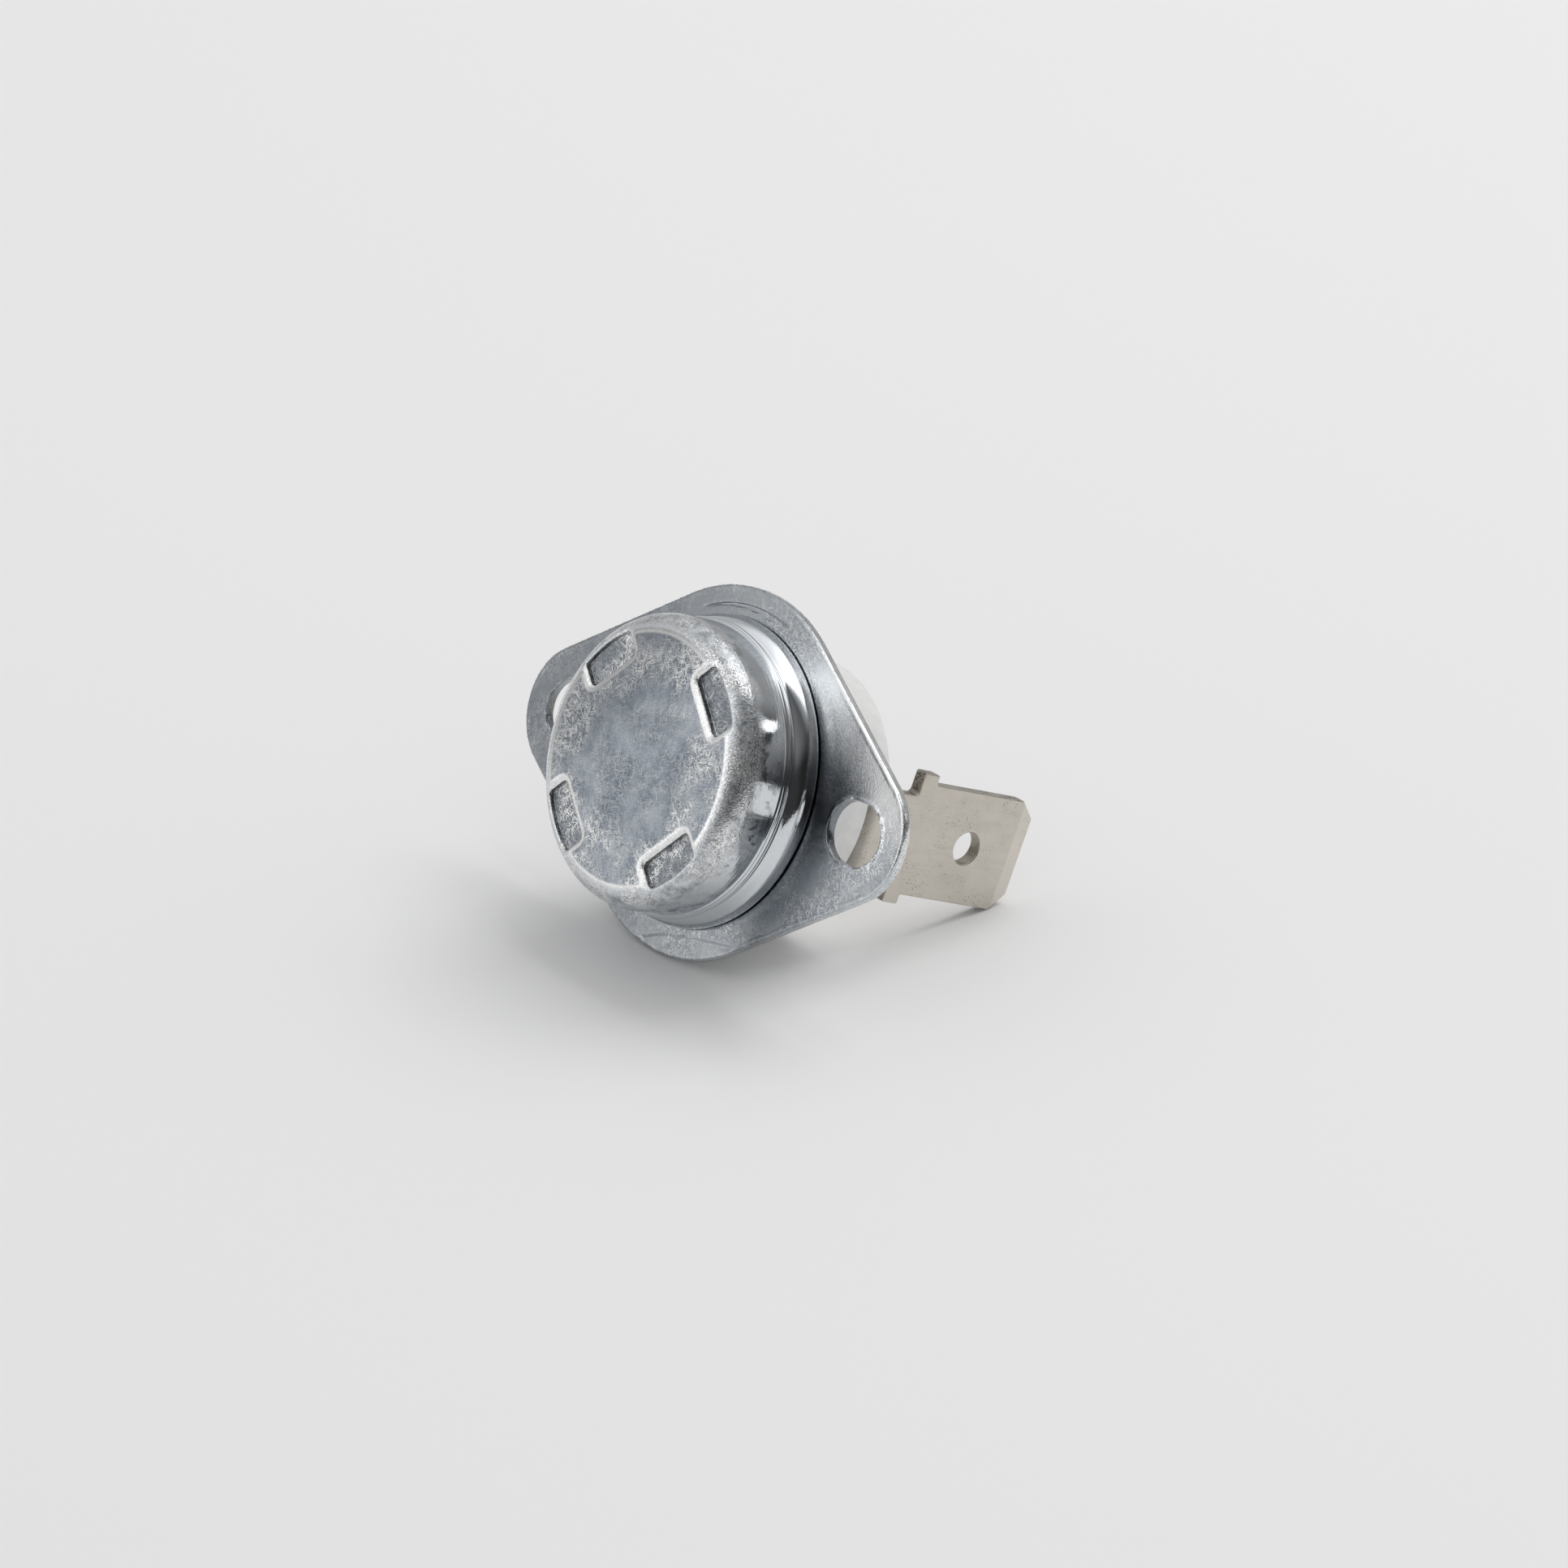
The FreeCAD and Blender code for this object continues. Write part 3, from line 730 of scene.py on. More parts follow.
@dataclass(frozen=True)
class FlangeSheet:
    """The loose aluminium flange with two slots, its die roll and its two coined crescents.

    All sizes are in millimetres and all angles in degrees. The low crescent lies across the line
    low_angle, low_reach from the axis. The high one runs along the edge between its fades.
    """

    half_width: float = 10.20
    end_radius: float = 3.72
    thickness: float = 0.50
    front: float = 5.3954
    hole_spacing: float = 24.20
    slot_width: float = 3.40
    slot_length: float = 4.08
    bore_radius: float = 8.34
    outer_edge: EdgeForm = EdgeForm(0.12, 0.03, burr=0.02)
    bore_edge: EdgeForm = EdgeForm(0.25, 0.04, 8)
    slot_edge: EdgeForm = EdgeForm(0.08, 0.03, 4, burr=0.07)
    coin_depth: float = 0.12
    coin_spread: float = 3.9
    coin_spacing: float = 0.10
    coin_rows: tuple[float, float, float] = (8.62, 9.95, 0.07)
    low_angle: float = -81.0
    low_reach: float = 8.80
    low_bows: tuple[float, float] = (0.004, 0.046)
    low_slope: float = 0.30
    low_share: float = 0.5
    high_angle: float = 95.0
    high_fades: tuple[float, float, float, float] = (70.0, 78.0, 112.0, 120.0)
    high_inner: float = 8.72
    high_growth: float = 0.40
    high_span: tuple[float, float] = (73.0, 45.0)
    high_slope: float = 0.10
    high_outer: tuple[float, float] = (9.15, 9.28)
    burr_scale: float = 1.7
    burr_layer: float = 3.0
    burr_heights: tuple[float, float] = (0.8, 1.3)
    ripple: float = 0.015
    end_steps: int = 60
    middle_steps: int = 90
    tangent_steps: int = 24
    slot_steps: int = 40
    bore_steps: int = 300

    def outline(self) -> Rim:
        """Draws the outer edge: a middle circle, two end circles and their tangents.

        Returns:
            The rim.
        """
        reach = 0.5 * self.hole_spacing
        lean = math.degrees(math.acos((self.half_width - self.end_radius) / reach))
        points: list[tuple[float, float]] = []
        outward: list[tuple[float, float]] = []
        spans = (
            (reach, self.end_radius, -lean, lean, self.end_steps),
            (0.0, self.half_width, lean, 180 - lean, self.middle_steps),
        )
        for turn in (0.0, 180.0):
            for centre, radius, start, end, count in spans:
                spin = math.radians(turn)
                for nx, nz in arc_points((0.0, 0.0), 1.0, start + turn, end + turn, count):
                    points.append((centre * math.cos(spin) + radius * nx, radius * nz))
                    outward.append((nx, nz))
                direction = np.array(outward[-1])
                here = np.array(points[-1])
                if centre:
                    other = direction * self.half_width
                else:
                    other = np.array([-math.cos(spin) * reach, 0.0]) + direction * self.end_radius
                for share in np.linspace(0.0, 1.0, self.tangent_steps)[1:-1]:
                    points.append(tuple(here + (other - here) * share))
                    outward.append(tuple(direction))
        return Rim(np.array(points), np.array(outward))

    def slot(self, centre: float) -> Rim:
        """Edge of one slotted hole.

        Args:
            centre: Place of the hole along X.

        Returns:
            The rim, whose outward directions point into the hole.
        """
        radius = 0.5 * self.slot_width
        half = 0.5 * self.slot_length - radius
        points = []
        outward = []
        for side in (1.0, -1.0):
            start = -90.0 if side > 0 else 90.0
            for nx, nz in arc_points((0.0, 0.0), 1.0, start, start + 180.0, self.slot_steps):
                points.append((centre + side * half + radius * nx, radius * nz))
                outward.append((-nx, -nz))
        return Rim(np.array(points), np.array(outward))

    def sink(self, x: np.ndarray, z: np.ndarray) -> np.ndarray:
        """Gives the depth of the coined crescents.

        Args:
            x: Places along X.
            z: Places along Z.

        Returns:
            Depth at each place.
        """
        angle = np.degrees(np.arctan2(z, x))
        radius = np.hypot(x, z)
        low = math.radians(self.low_angle)
        along = x * math.cos(low) + z * math.sin(low)
        across = x * math.sin(low) - z * math.cos(low)
        bow = np.where(across < 0, *self.low_bows)
        outside = along - (self.low_reach + bow * across**2)
        bottom = self.low_share * smooth_step(0.0, self.low_slope, outside)
        start, full, fade, end = self.high_fades
        fades = smooth_step(start, full, angle) * (1 - smooth_step(fade, end, angle))
        begin, length = self.high_span
        inner = self.high_inner + self.high_growth * np.clip((angle - begin) / length, 0.0, 1.0)
        rise = smooth_step(0.0, self.high_slope, radius - inner)
        top = rise * (1 - smooth_step(*self.high_outer, radius)) * fades
        return self.coin_depth * np.maximum(bottom, top)

    def place(self, x: np.ndarray, z: np.ndarray, depth: np.ndarray) -> np.ndarray:
        """Carries flat places and depths into the row frame.

        Args:
            x: Places along X.
            z: Places along Z.
            depth: Depths from the front face.

        Returns:
            Points in millimetres, one row each.
        """
        share = 1.0 - np.maximum(depth, 0.0) / self.thickness
        mean, swing = self.burr_heights
        scale = self.burr_scale
        spots = [Vector((px * scale, pz * scale, self.burr_layer)) for px, pz in zip(x, z)]
        shake = np.array([mean + swing * noise.noise(spot) for spot in spots])
        raised = np.where(depth < 0.0, depth * shake, depth)
        return np.column_stack([x, self.front + raised + self.sink(x, z) * share, z])

    def build(self) -> bpy.types.Object:
        """Makes the flange.

        Returns:
            The flange's object.
        """
        reach = 0.5 * self.hole_spacing
        bore = round_rim((0.0, 0.0), self.bore_radius, self.bore_steps)
        rims = [self.outline(), bore, self.slot(reach), self.slot(-reach)]
        forms = [self.outer_edge, self.bore_edge, self.slot_edge, self.slot_edge]
        steps = np.arange(-self.coin_spread, self.coin_spread + 0.01, self.coin_spacing)
        marks = []
        for middle in (self.high_angle, self.low_angle):
            for height in np.arange(*self.coin_rows):
                turn = steps / height + math.radians(middle)
                marks.append(np.column_stack([height * np.cos(turn), height * np.sin(turn)]))
        extra = np.vstack(marks)
        sheet = StampedSheet(self.thickness, rims, forms, extra, self.place, self.ripple)
        return sheet.build("mounting_flange_sheet")


@dataclass(frozen=True)
class EdgeBurr:
    """Torn metal grains along the flange's edges, scattered by a Geometry Nodes tree and baked.

    Sizes are in millimetres. A seat is the inset and the depth at which the grains sit. That of the
    outline is given in shares of its die roll.
    """

    spacing: float = 0.17
    size: float = 0.034
    jitter: float = 0.02
    seed: int = 7
    outline_seat: tuple[float, float] = (0.25, 0.35)
    slot_seat: tuple[float, float] = (0.08, -0.03)
    turn_limit: float = 6.28
    least_stretch: tuple[float, float, float] = (0.35, 0.35, 0.35)
    most_stretch: tuple[float, float, float] = (1.5, 1.0, 1.5)

    def path(self, sheet: FlangeSheet) -> bpy.types.Object:
        """Makes the closed paths that the grains follow.

        Args:
            sheet: Flange whose edges are followed.

        Returns:
            An object that holds only the paths.
        """
        reach = 0.5 * sheet.hole_spacing
        corners: list[Vector] = []
        edges: list[tuple[int, int]] = []
        inset_share, depth_share = self.outline_seat
        roll = sheet.outer_edge.front_radius
        places = (
            (sheet.outline(), inset_share * roll, depth_share * roll),
            (sheet.slot(reach), *self.slot_seat),
            (sheet.slot(-reach), *self.slot_seat),
        )
        for rim, inset, depth in places:
            flat = rim.points - rim.outward * inset
            points = sheet.place(flat[:, 0], flat[:, 1], np.full(len(flat), depth))
            start = len(corners)
            corners += [Vector(point) * MM for point in points]
            edges += [(start + index, start + (index + 1) % len(points)) for index in range(len(points))]
        mesh = bpy.data.meshes.new("edge_paths")
        mesh.from_pydata(corners, edges, [])
        made = bpy.data.objects.new("edge_paths", mesh)
        bpy.context.scene.collection.objects.link(made)
        return made

    def tree(self, material: bpy.types.Material) -> bpy.types.NodeTree:
        """Makes the tree that turns paths into grains.

        Args:
            material: Material of the grains.

        Returns:
            The tree, with Spacing, Size, Jitter and Seed as its inputs.
        """
        tree = bpy.data.node_groups.new("edge_burr", "GeometryNodeTree")
        face = tree.interface
        face.new_socket("Geometry", in_out="INPUT", socket_type="NodeSocketGeometry")
        for name in ("Spacing", "Size", "Jitter"):
            face.new_socket(name, in_out="INPUT", socket_type="NodeSocketFloat")
        face.new_socket("Seed", in_out="INPUT", socket_type="NodeSocketInt")
        face.new_socket("Geometry", in_out="OUTPUT", socket_type="NodeSocketGeometry")
        given = add_node(tree, "NodeGroupInput").outputs
        curve = add_node(tree, "GeometryNodeMeshToCurve", inputs={"Mesh": given["Geometry"]})
        even = add_node(
            tree,
            "GeometryNodeResampleCurve",
            {"mode": "LENGTH"},
            {"Curve": curve.outputs["Curve"], "Length": given["Spacing"]},
        )
        shake = add_node(
            tree,
            "FunctionNodeRandomValue",
            {"data_type": "FLOAT_VECTOR"},
            {0: (-1.0, -1.0, -1.0), 1: (1.0, 1.0, 1.0), "Seed": given["Seed"]},
        )
        offset = add_node(
            tree,
            "ShaderNodeVectorMath",
            {"operation": "SCALE"},
            {0: shake.outputs["Value"], "Scale": given["Jitter"]},
        )
        moved = add_node(
            tree,
            "GeometryNodeSetPosition",
            inputs={"Geometry": even.outputs["Curve"], "Offset": offset.outputs["Vector"]},
        )
        grain_form = add_node(
            tree, "GeometryNodeMeshIcoSphere", inputs={"Radius": given["Size"], "Subdivisions": 1}
        )
        turn = add_node(
            tree,
            "FunctionNodeRandomValue",
            {"data_type": "FLOAT_VECTOR"},
            {0: (0.0, 0.0, 0.0), 1: (self.turn_limit,) * 3, "Seed": given["Seed"]},
        )
        stretch = add_node(
            tree,
            "FunctionNodeRandomValue",
            {"data_type": "FLOAT_VECTOR"},
            {0: self.least_stretch, 1: self.most_stretch, "Seed": given["Seed"]},
        )
        copies = add_node(
            tree,
            "GeometryNodeInstanceOnPoints",
            inputs={
                "Points": moved.outputs["Geometry"],
                "Instance": grain_form.outputs["Mesh"],
                "Rotation": turn.outputs["Value"],
                "Scale": stretch.outputs["Value"],
            },
        )
        real = add_node(
            tree, "GeometryNodeRealizeInstances", inputs={"Geometry": copies.outputs["Instances"]}
        )
        dressed = add_node(
            tree,
            "GeometryNodeSetMaterial",
            inputs={"Geometry": real.outputs["Geometry"], "Material": material},
        )
        add_node(tree, "NodeGroupOutput", inputs={"Geometry": dressed.outputs["Geometry"]})
        return tree

    def build(self, sheet: FlangeSheet, material: bpy.types.Material) -> bpy.types.Object:
        """Makes the grains of one flange.

        Args:
            sheet: Flange whose edges they follow.
            material: Material of the grains.

        Returns:
            One baked object.
        """
        paths = self.path(sheet)
        tree = self.tree(material)
        grower = paths.modifiers.new("edge_burr", "NODES")
        grower.node_group = tree
        values = {
            "Spacing": self.spacing * MM,
            "Size": self.size * MM,
            "Jitter": self.jitter * MM,
            "Seed": self.seed,
        }
        for item in tree.interface.items_tree:
            if item.in_out == "INPUT" and item.name in values:
                grower[item.identifier] = values[item.name]
        graph = bpy.context.evaluated_depsgraph_get()
        mesh = bpy.data.meshes.new_from_object(paths.evaluated_get(graph))
        bpy.data.objects.remove(paths)
        mesh.name = "flange_edge_burr"
        made = bpy.data.objects.new("flange_edge_burr", mesh)
        bpy.context.scene.collection.objects.link(made)
        return made


@dataclass(frozen=True)
class TabSheet:
    """One bent terminal: strip, bend, neck, ears and bevelled tab. Sizes are in millimetres."""

    side: Side
    thickness: float = 0.80
    strip_start: float = 1.75
    outer_face: float = 7.27
    floor: float = 10.55
    bend_radius: float = 0.90
    end_depth: float = 22.50
    neck_width: float = 4.80
    ear_width: float = 7.40
    ear_depth: float = 13.65
    ear_length: float = 1.10
    tab_width: float = 6.30
    chamfer_across: float = 0.95
    chamfer_along: float = 1.15
    bevel_depth: float = 0.18
    bevel_length: float = 1.00
    hole_radius: float = 0.92
    hole_from_tip: float = 4.12
    rivet_place: float = 4.30
    rivet_hole: float = 0.95
    corner: float = 0.12
    ear_root: float = 0.10
    neck_root: float = 0.25
    start_corner: float = 0.15
    point_spacing: float = 0.25
    outer_edge: EdgeForm = EdgeForm(0.06, 0.05, 4)
    hole_edge: EdgeForm = EdgeForm(0.07, 0.05, 4)
    rivet_edge: EdgeForm = EdgeForm(0.04, 0.04, 3)
    hole_steps: int = 64
    rivet_steps: int = 48
    bend_rows: int = 11
    neck_points: int = 20
    bevel_points: int = 24
    side_margin: float = 0.15
    bend_margin: float = 0.04
    bevel_margin: float = 0.03

    def flat_run(self) -> tuple[float, float, float]:
        """Measures the blank along the middle of its sheet.

        Returns:
            Lengths to the bend, round it and from it to the tip.
        """
        middle = self.bend_radius - 0.5 * self.thickness
        first = self.outer_face - self.bend_radius - self.strip_start
        bend = 0.5 * math.pi * middle
        last = self.end_depth - self.floor - self.bend_radius
        return first, bend, last

    def place(self, run: np.ndarray, across: np.ndarray, depth: np.ndarray) -> np.ndarray:
        """Carries the flat blank round its bend and into the row frame.

        Args:
            run: Places along the blank.
            across: Places across it.
            depth: Depths from the outer face.

        Returns:
            Points in millimetres, one row each.
        """
        first, bend, last = self.flat_run()
        half = 0.5 * self.thickness
        tip = first + bend + last
        pinch = np.clip((run - (tip - self.bevel_length)) / self.bevel_length, 0.0, 1.0) * self.bevel_depth
        out = (half - depth) * (half - pinch) / half
        centre_x = self.outer_face - self.bend_radius
        centre_y = self.floor + self.bend_radius
        middle = self.bend_radius - half
        angle = np.clip((run - first) / bend, 0.0, 1.0) * 0.5 * math.pi
        x = centre_x + (middle + out) * np.sin(angle) + np.minimum(run - first, 0.0)
        y = centre_y - (middle + out) * np.cos(angle) + np.maximum(run - first - bend, 0.0)
        turn = BODY_TURN + self.side.value
        turned_x = x * math.cos(turn) + across * math.sin(turn)
        turned_z = -x * math.sin(turn) + across * math.cos(turn)
        return np.column_stack([turned_x, y, turned_z])

    def build(self) -> bpy.types.Object:
        """Makes the terminal.

        Returns:
            The terminal's object.
        """
        first, bend, last = self.flat_run()
        tip = first + bend + last
        lift = first + bend - (self.floor + self.bend_radius)
        neck, ear, tab = 0.5 * self.neck_width, 0.5 * self.ear_width, 0.5 * self.tab_width
        low = self.ear_depth + lift
        high = low + self.ear_length
        upper = [
            (tip, tab - self.chamfer_across, self.corner),
            (tip - self.chamfer_along, tab, self.corner),
            (high, tab, self.ear_root),
            (high, ear, self.corner),
            (low, ear, self.corner),
            (low, neck, self.neck_root),
            (0.0, neck, self.start_corner),
        ]
        lower = [(x, -y, radius) for x, y, radius in reversed(upper)]
        rims = [
            corner_rim(lower + upper, self.point_spacing),
            round_rim((tip - self.hole_from_tip, 0.0), self.hole_radius, self.hole_steps),
            round_rim((self.rivet_place - self.strip_start, 0.0), self.rivet_hole, self.rivet_steps),
        ]
        forms = [self.outer_edge, self.hole_edge, self.rivet_edge]
        bends = np.linspace(first - self.bend_margin, first + bend + self.bend_margin, self.bend_rows)
        rows = np.linspace(-neck + self.side_margin, neck - self.side_margin, self.neck_points)
        extra = [np.column_stack([np.full(len(rows), place), rows]) for place in bends]
        bevel = tip - self.bevel_length
        rows = np.linspace(-tab + self.side_margin, tab - self.side_margin, self.bevel_points)
        for place in (bevel - self.bevel_margin, bevel + self.bevel_margin):
            extra.append(np.column_stack([np.full(len(rows), place), rows]))
        sheet = StampedSheet(self.thickness, rims, forms, np.vstack(extra), self.place, cut_edges=True)
        return sheet.build(f"terminal_{self.side.name.lower()}_sheet")


@dataclass(frozen=True)
class Grain:
    """Irregular grain: size in millimetres, noise values that give 0 and 1, and finer layers."""

    size: float
    low: float
    high: float
    detail: float = 2.0
    roughness: float = 0.6


@dataclass(frozen=True)
class Scratches:
    """Thin scattered scratches: how they lie, their width and length in millimetres, and how rare.

    The turns are those of their layers about X, Y and Z in degrees. A scratch shows where the noise
    is above the threshold, and fades in over its softness. Each layer is moved on by a step, so
    that no two of them meet.
    """

    turns: Sequence[tuple[float, float, float]]
    width: float
    length: float
    threshold: float
    softness: float = 0.03
    step: tuple[float, float, float] = (3.7, 1.9, 5.3)


@dataclass(frozen=True)
class Span:
    """A stretch of a measure over which a mask goes smoothly from low to high.

    Its start lies above its end where the mask rises as the measure falls.
    """

    measure: bpy.types.NodeSocket
    start: float
    end: float
    low: float = 0.0
    high: float = 1.0


class Surface:
    """One material while it is made: its tree, its shader and the measures that its patterns read."""

    def __init__(self, name: str) -> None:
        """Makes the material with its shader, its output and coordinates in millimetres.

        Args:
            name: Name of the material.
        """
        self.material = bpy.data.materials.new(name)
        self.material.use_nodes = True
        self.tree = self.material.node_tree
        self.tree.nodes.clear()
        self.shader = add_node(self.tree, "ShaderNodeBsdfPrincipled")
        add_node(self.tree, "ShaderNodeOutputMaterial", inputs={"Surface": self.shader.outputs["BSDF"]})
        spot = add_node(self.tree, "ShaderNodeTexCoord")
        scaled = add_node(
            self.tree,
            "ShaderNodeMapping",
            inputs={"Vector": spot.outputs["Object"], "Scale": (1.0 / MM, 1.0 / MM, 1.0 / MM)},
        )
        self.place = scaled.outputs["Vector"]
        parts = add_node(self.tree, "ShaderNodeSeparateXYZ", inputs={"Vector": self.place})
        self.along, self.depth, self.height = parts.outputs

    def axis_distance(self) -> bpy.types.NodeSocket:
        """Measures the distance from the object's axis.

        Returns:
            The distance in millimetres.
        """
        flat = add_node(self.tree, "ShaderNodeCombineXYZ", inputs={"X": self.along, "Y": self.height})
        length = add_node(
            self.tree, "ShaderNodeVectorMath", {"operation": "LENGTH"}, {0: flat.outputs["Vector"]}
        )
        return length.outputs["Value"]

    def grain(self, form: Grain, place: bpy.types.NodeSocket | None = None) -> bpy.types.NodeSocket:
        """Lays a grain, as a value from 0 to 1.

        Args:
            form: The grain.
            place: Coordinates to use instead of the plain ones.

        Returns:
            The value.
        """
        spots = add_node(
            self.tree,
            "ShaderNodeTexNoise",
            inputs={
                "Vector": place or self.place,
                "Scale": 1.0 / form.size,
                "Detail": form.detail,
                "Roughness": form.roughness,
            },
        )
        return add_node(
            self.tree,
            "ShaderNodeMapRange",
            {"clamp": True},
            {"Value": spots.outputs["Fac"], "From Min": form.low, "From Max": form.high},
        ).outputs["Result"]

    def scratches(self, form: Scratches) -> bpy.types.NodeSocket:
        """Lays scratches, as a value from 0 to 1.

        Args:
            form: The scratches.

        Returns:
            The value.
        """
        total: bpy.types.NodeSocket | None = None
        for index, turn in enumerate(form.turns):
            turned = add_node(
                self.tree,
                "ShaderNodeMapping",
                {"vector_type": "TEXTURE"},
                {
                    "Vector": self.place,
                    "Rotation": tuple(math.radians(value) for value in turn),
                    "Location": tuple(step * index for step in form.step),
                    "Scale": (form.length, form.width, form.width),
                },
            )
            streak = add_node(
                self.tree,
                "ShaderNodeTexNoise",
                inputs={"Vector": turned.outputs["Vector"], "Scale": 1.0, "Detail": 0.0},
            )
            shown = add_node(
                self.tree,
                "ShaderNodeMapRange",
                {"clamp": True},
                {
                    "Value": streak.outputs["Fac"],
                    "From Min": form.threshold,
                    "From Max": form.threshold + form.softness,
                },
            ).outputs["Result"]
            if total is None:
                total = shown
            else:
                total = add_node(
                    self.tree, "ShaderNodeMath", {"operation": "MAXIMUM"}, {0: total, 1: shown}
                ).outputs[0]
        return total

    def mask(self, *factors: Span | bpy.types.NodeSocket | float) -> bpy.types.NodeSocket:
        """Joins spans, masks and plain shares, so that a place counts only where all of them have it.

        Args:
            factors: What is joined. The first one is a span or a mask.

        Returns:
            The joined mask.
        """
        product: bpy.types.NodeSocket | None = None
        for factor in factors:
            if isinstance(factor, Span):
                factor = add_node(
                    self.tree,
                    "ShaderNodeMapRange",
                    {"interpolation_type": "SMOOTHSTEP"},
                    {
                        "Value": factor.measure,
                        "From Min": factor.start,
                        "From Max": factor.end,
                        "To Min": factor.low,
                        "To Max": factor.high,
                    },
                ).outputs["Result"]
            if product is None:
                product = factor
            else:
                product = add_node(
                    self.tree, "ShaderNodeMath", {"operation": "MULTIPLY"}, {0: product, 1: factor}
                ).outputs[0]
        return product

    def coats(
        self, base: str | bpy.types.NodeSocket, layers: Sequence[tuple[bpy.types.NodeSocket, str]]
    ) -> bpy.types.NodeSocket:
        """Lays colours over a base, each as thick as its mask says.

        Args:
            base: Hex colour or ready colour at the bottom.
            layers: Masks and hex colours from the bottom up.

        Returns:
            The colour on top.
        """
        colour = linear_colour(base) if isinstance(base, str) else base
        for share, code in layers:
            colour = add_node(
                self.tree,
                "ShaderNodeMix",
                {"data_type": "RGBA"},
                {"Factor": share, 6: colour, 7: linear_colour(code)},
            ).outputs[2]
        return colour

    def finish(
        self,
        colour: bpy.types.NodeSocket,
        roughness: bpy.types.NodeSocket,
        height: bpy.types.NodeSocket,
        distance: float,
    ) -> bpy.types.Material:
        """Feeds a metal's colour, roughness and relief to the shader.

        Args:
            colour: Base colour.
            roughness: Roughness.
            height: Relief, from 0 to 1.
            distance: Height of the relief in millimetres.

        Returns:
            The finished material.
        """
        self.shader.inputs["Metallic"].default_value = 1.0
        self.tree.links.new(colour, self.shader.inputs["Base Color"])
        self.tree.links.new(roughness, self.shader.inputs["Roughness"])
        bump = add_node(
            self.tree, "ShaderNodeBump", inputs={"Height": height, "Strength": 1.0, "Distance": distance * MM}
        )
        self.tree.links.new(bump.outputs["Normal"], self.shader.inputs["Normal"])
        return self.material


# Turns of scratches that lie in the face, and of scratches that run over a part's every side.
FLAT_TURNS = ((0, 12, 0), (0, 48, 0), (0, 83, 0), (0, 121, 0), (0, 158, 0))
SOLID_TURNS = ((0, 0, 90), (0, 35, 80), (10, 70, 100), (60, 20, 40), (110, 60, 20))


@dataclass(frozen=True)
class SheetMasks:
    """Masks that every aluminium sheet shares."""

    drawn: bpy.types.NodeSocket
    fine: bpy.types.NodeSocket
    stain: bpy.types.NodeSocket
    cluster: bpy.types.NodeSocket
    marked: bpy.types.NodeSocket


@dataclass(frozen=True)
class AluminiumFinish:
    """Bare aluminium sheet: an even silver grey, clouded by handling stains and full of bright nicks.

    Sizes and depths are in millimetres. The fine grain and the nicks of the real sheet are only
    hundredths of a millimetre wide. They are drawn as coarse as they need to show.
    """

    name: str
    skin: str
    stain: str
    roughness: tuple[float, float]
    stains: Grain
    nicks: Scratches
    bump: float
    bright: str = "#FFFFFF"
    polish: float = 0.0
    polish_depths: tuple[float, float] = (0.9, 2.2)
    fine: Grain = Grain(0.11, 0.30, 0.70)
    fine_reach: tuple[float, float] = (0.1, 0.9)
    fine_shades: tuple[float, float] = (1.03, 0.90)
    hairs: Scratches = Scratches(SOLID_TURNS, 0.035, 2.6, 0.71)
    clusters: Grain = Grain(2.4, 0.40, 0.60, 3.0)
    sparse_share: float = 0.25
    mark_strength: float = 0.95
    mark_relief: float = -0.9

    def masks(self, surface: Surface) -> SheetMasks:
        """Makes the masks of polish, grain, stain and marks.

        Args:
            surface: The material while it is made.

        Returns:
            The masks.
        """
        drawn = surface.mask(Span(surface.depth, *self.polish_depths, 1.0, 1.0 - self.polish))
        fine = surface.grain(self.fine)
        stain = surface.grain(self.stains)
        cluster = surface.grain(self.clusters)
        nicks = surface.scratches(self.nicks)
        hairs = surface.scratches(self.hairs)
        either = add_node(surface.tree, "ShaderNodeMath", {"operation": "MAXIMUM"}, {0: nicks, 1: hairs})
        marked = surface.mask(either.outputs[0], Span(cluster, 0.0, 1.0, self.sparse_share, 1.0))
        return SheetMasks(drawn, fine, stain, cluster, marked)

    def clouded(
        self, surface: Surface, masks: SheetMasks, colour: bpy.types.NodeSocket
    ) -> bpy.types.NodeSocket:
        """Lets the fine grain lighten and darken a colour.

        Args:
            surface: The material while it is made.
            masks: Masks of the sheet.
            colour: The colour.

        Returns:
            The clouded colour.
        """
        grainy = surface.mask(masks.fine, masks.drawn)
        strength = surface.mask(Span(grainy, *self.fine_reach, *self.fine_shades))
        return add_node(
            surface.tree, "ShaderNodeVectorMath", {"operation": "SCALE"}, {0: colour, "Scale": strength}
        ).outputs["Vector"]

    def relief(self, surface: Surface, masks: SheetMasks) -> bpy.types.NodeSocket:
        """Makes the relief of the grain with the marks pressed into it.

        Args:
            surface: The material while it is made.
            masks: Masks of the sheet.

        Returns:
            The height, which fades out where the metal is polished.
        """
        marks = add_node(
            surface.tree,
            "ShaderNodeMath",
            {"operation": "MULTIPLY_ADD"},
            {0: masks.marked, 1: self.mark_relief, 2: masks.fine},
        ).outputs[0]
        return surface.mask(marks, surface.mask(masks.drawn, masks.drawn))

    def rough(self, surface: Surface, masks: SheetMasks) -> bpy.types.NodeSocket:
        """Makes the roughness, which follows the stains and is less where the metal is polished.

        Args:
            surface: The material while it is made.
            masks: Masks of the sheet.

        Returns:
            The roughness.
        """
        low, high = self.roughness
        spread = add_node(
            surface.tree, "ShaderNodeMapRange", inputs={"Value": masks.stain, "To Min": low, "To Max": high}
        )
        return surface.mask(spread.outputs["Result"], masks.drawn)


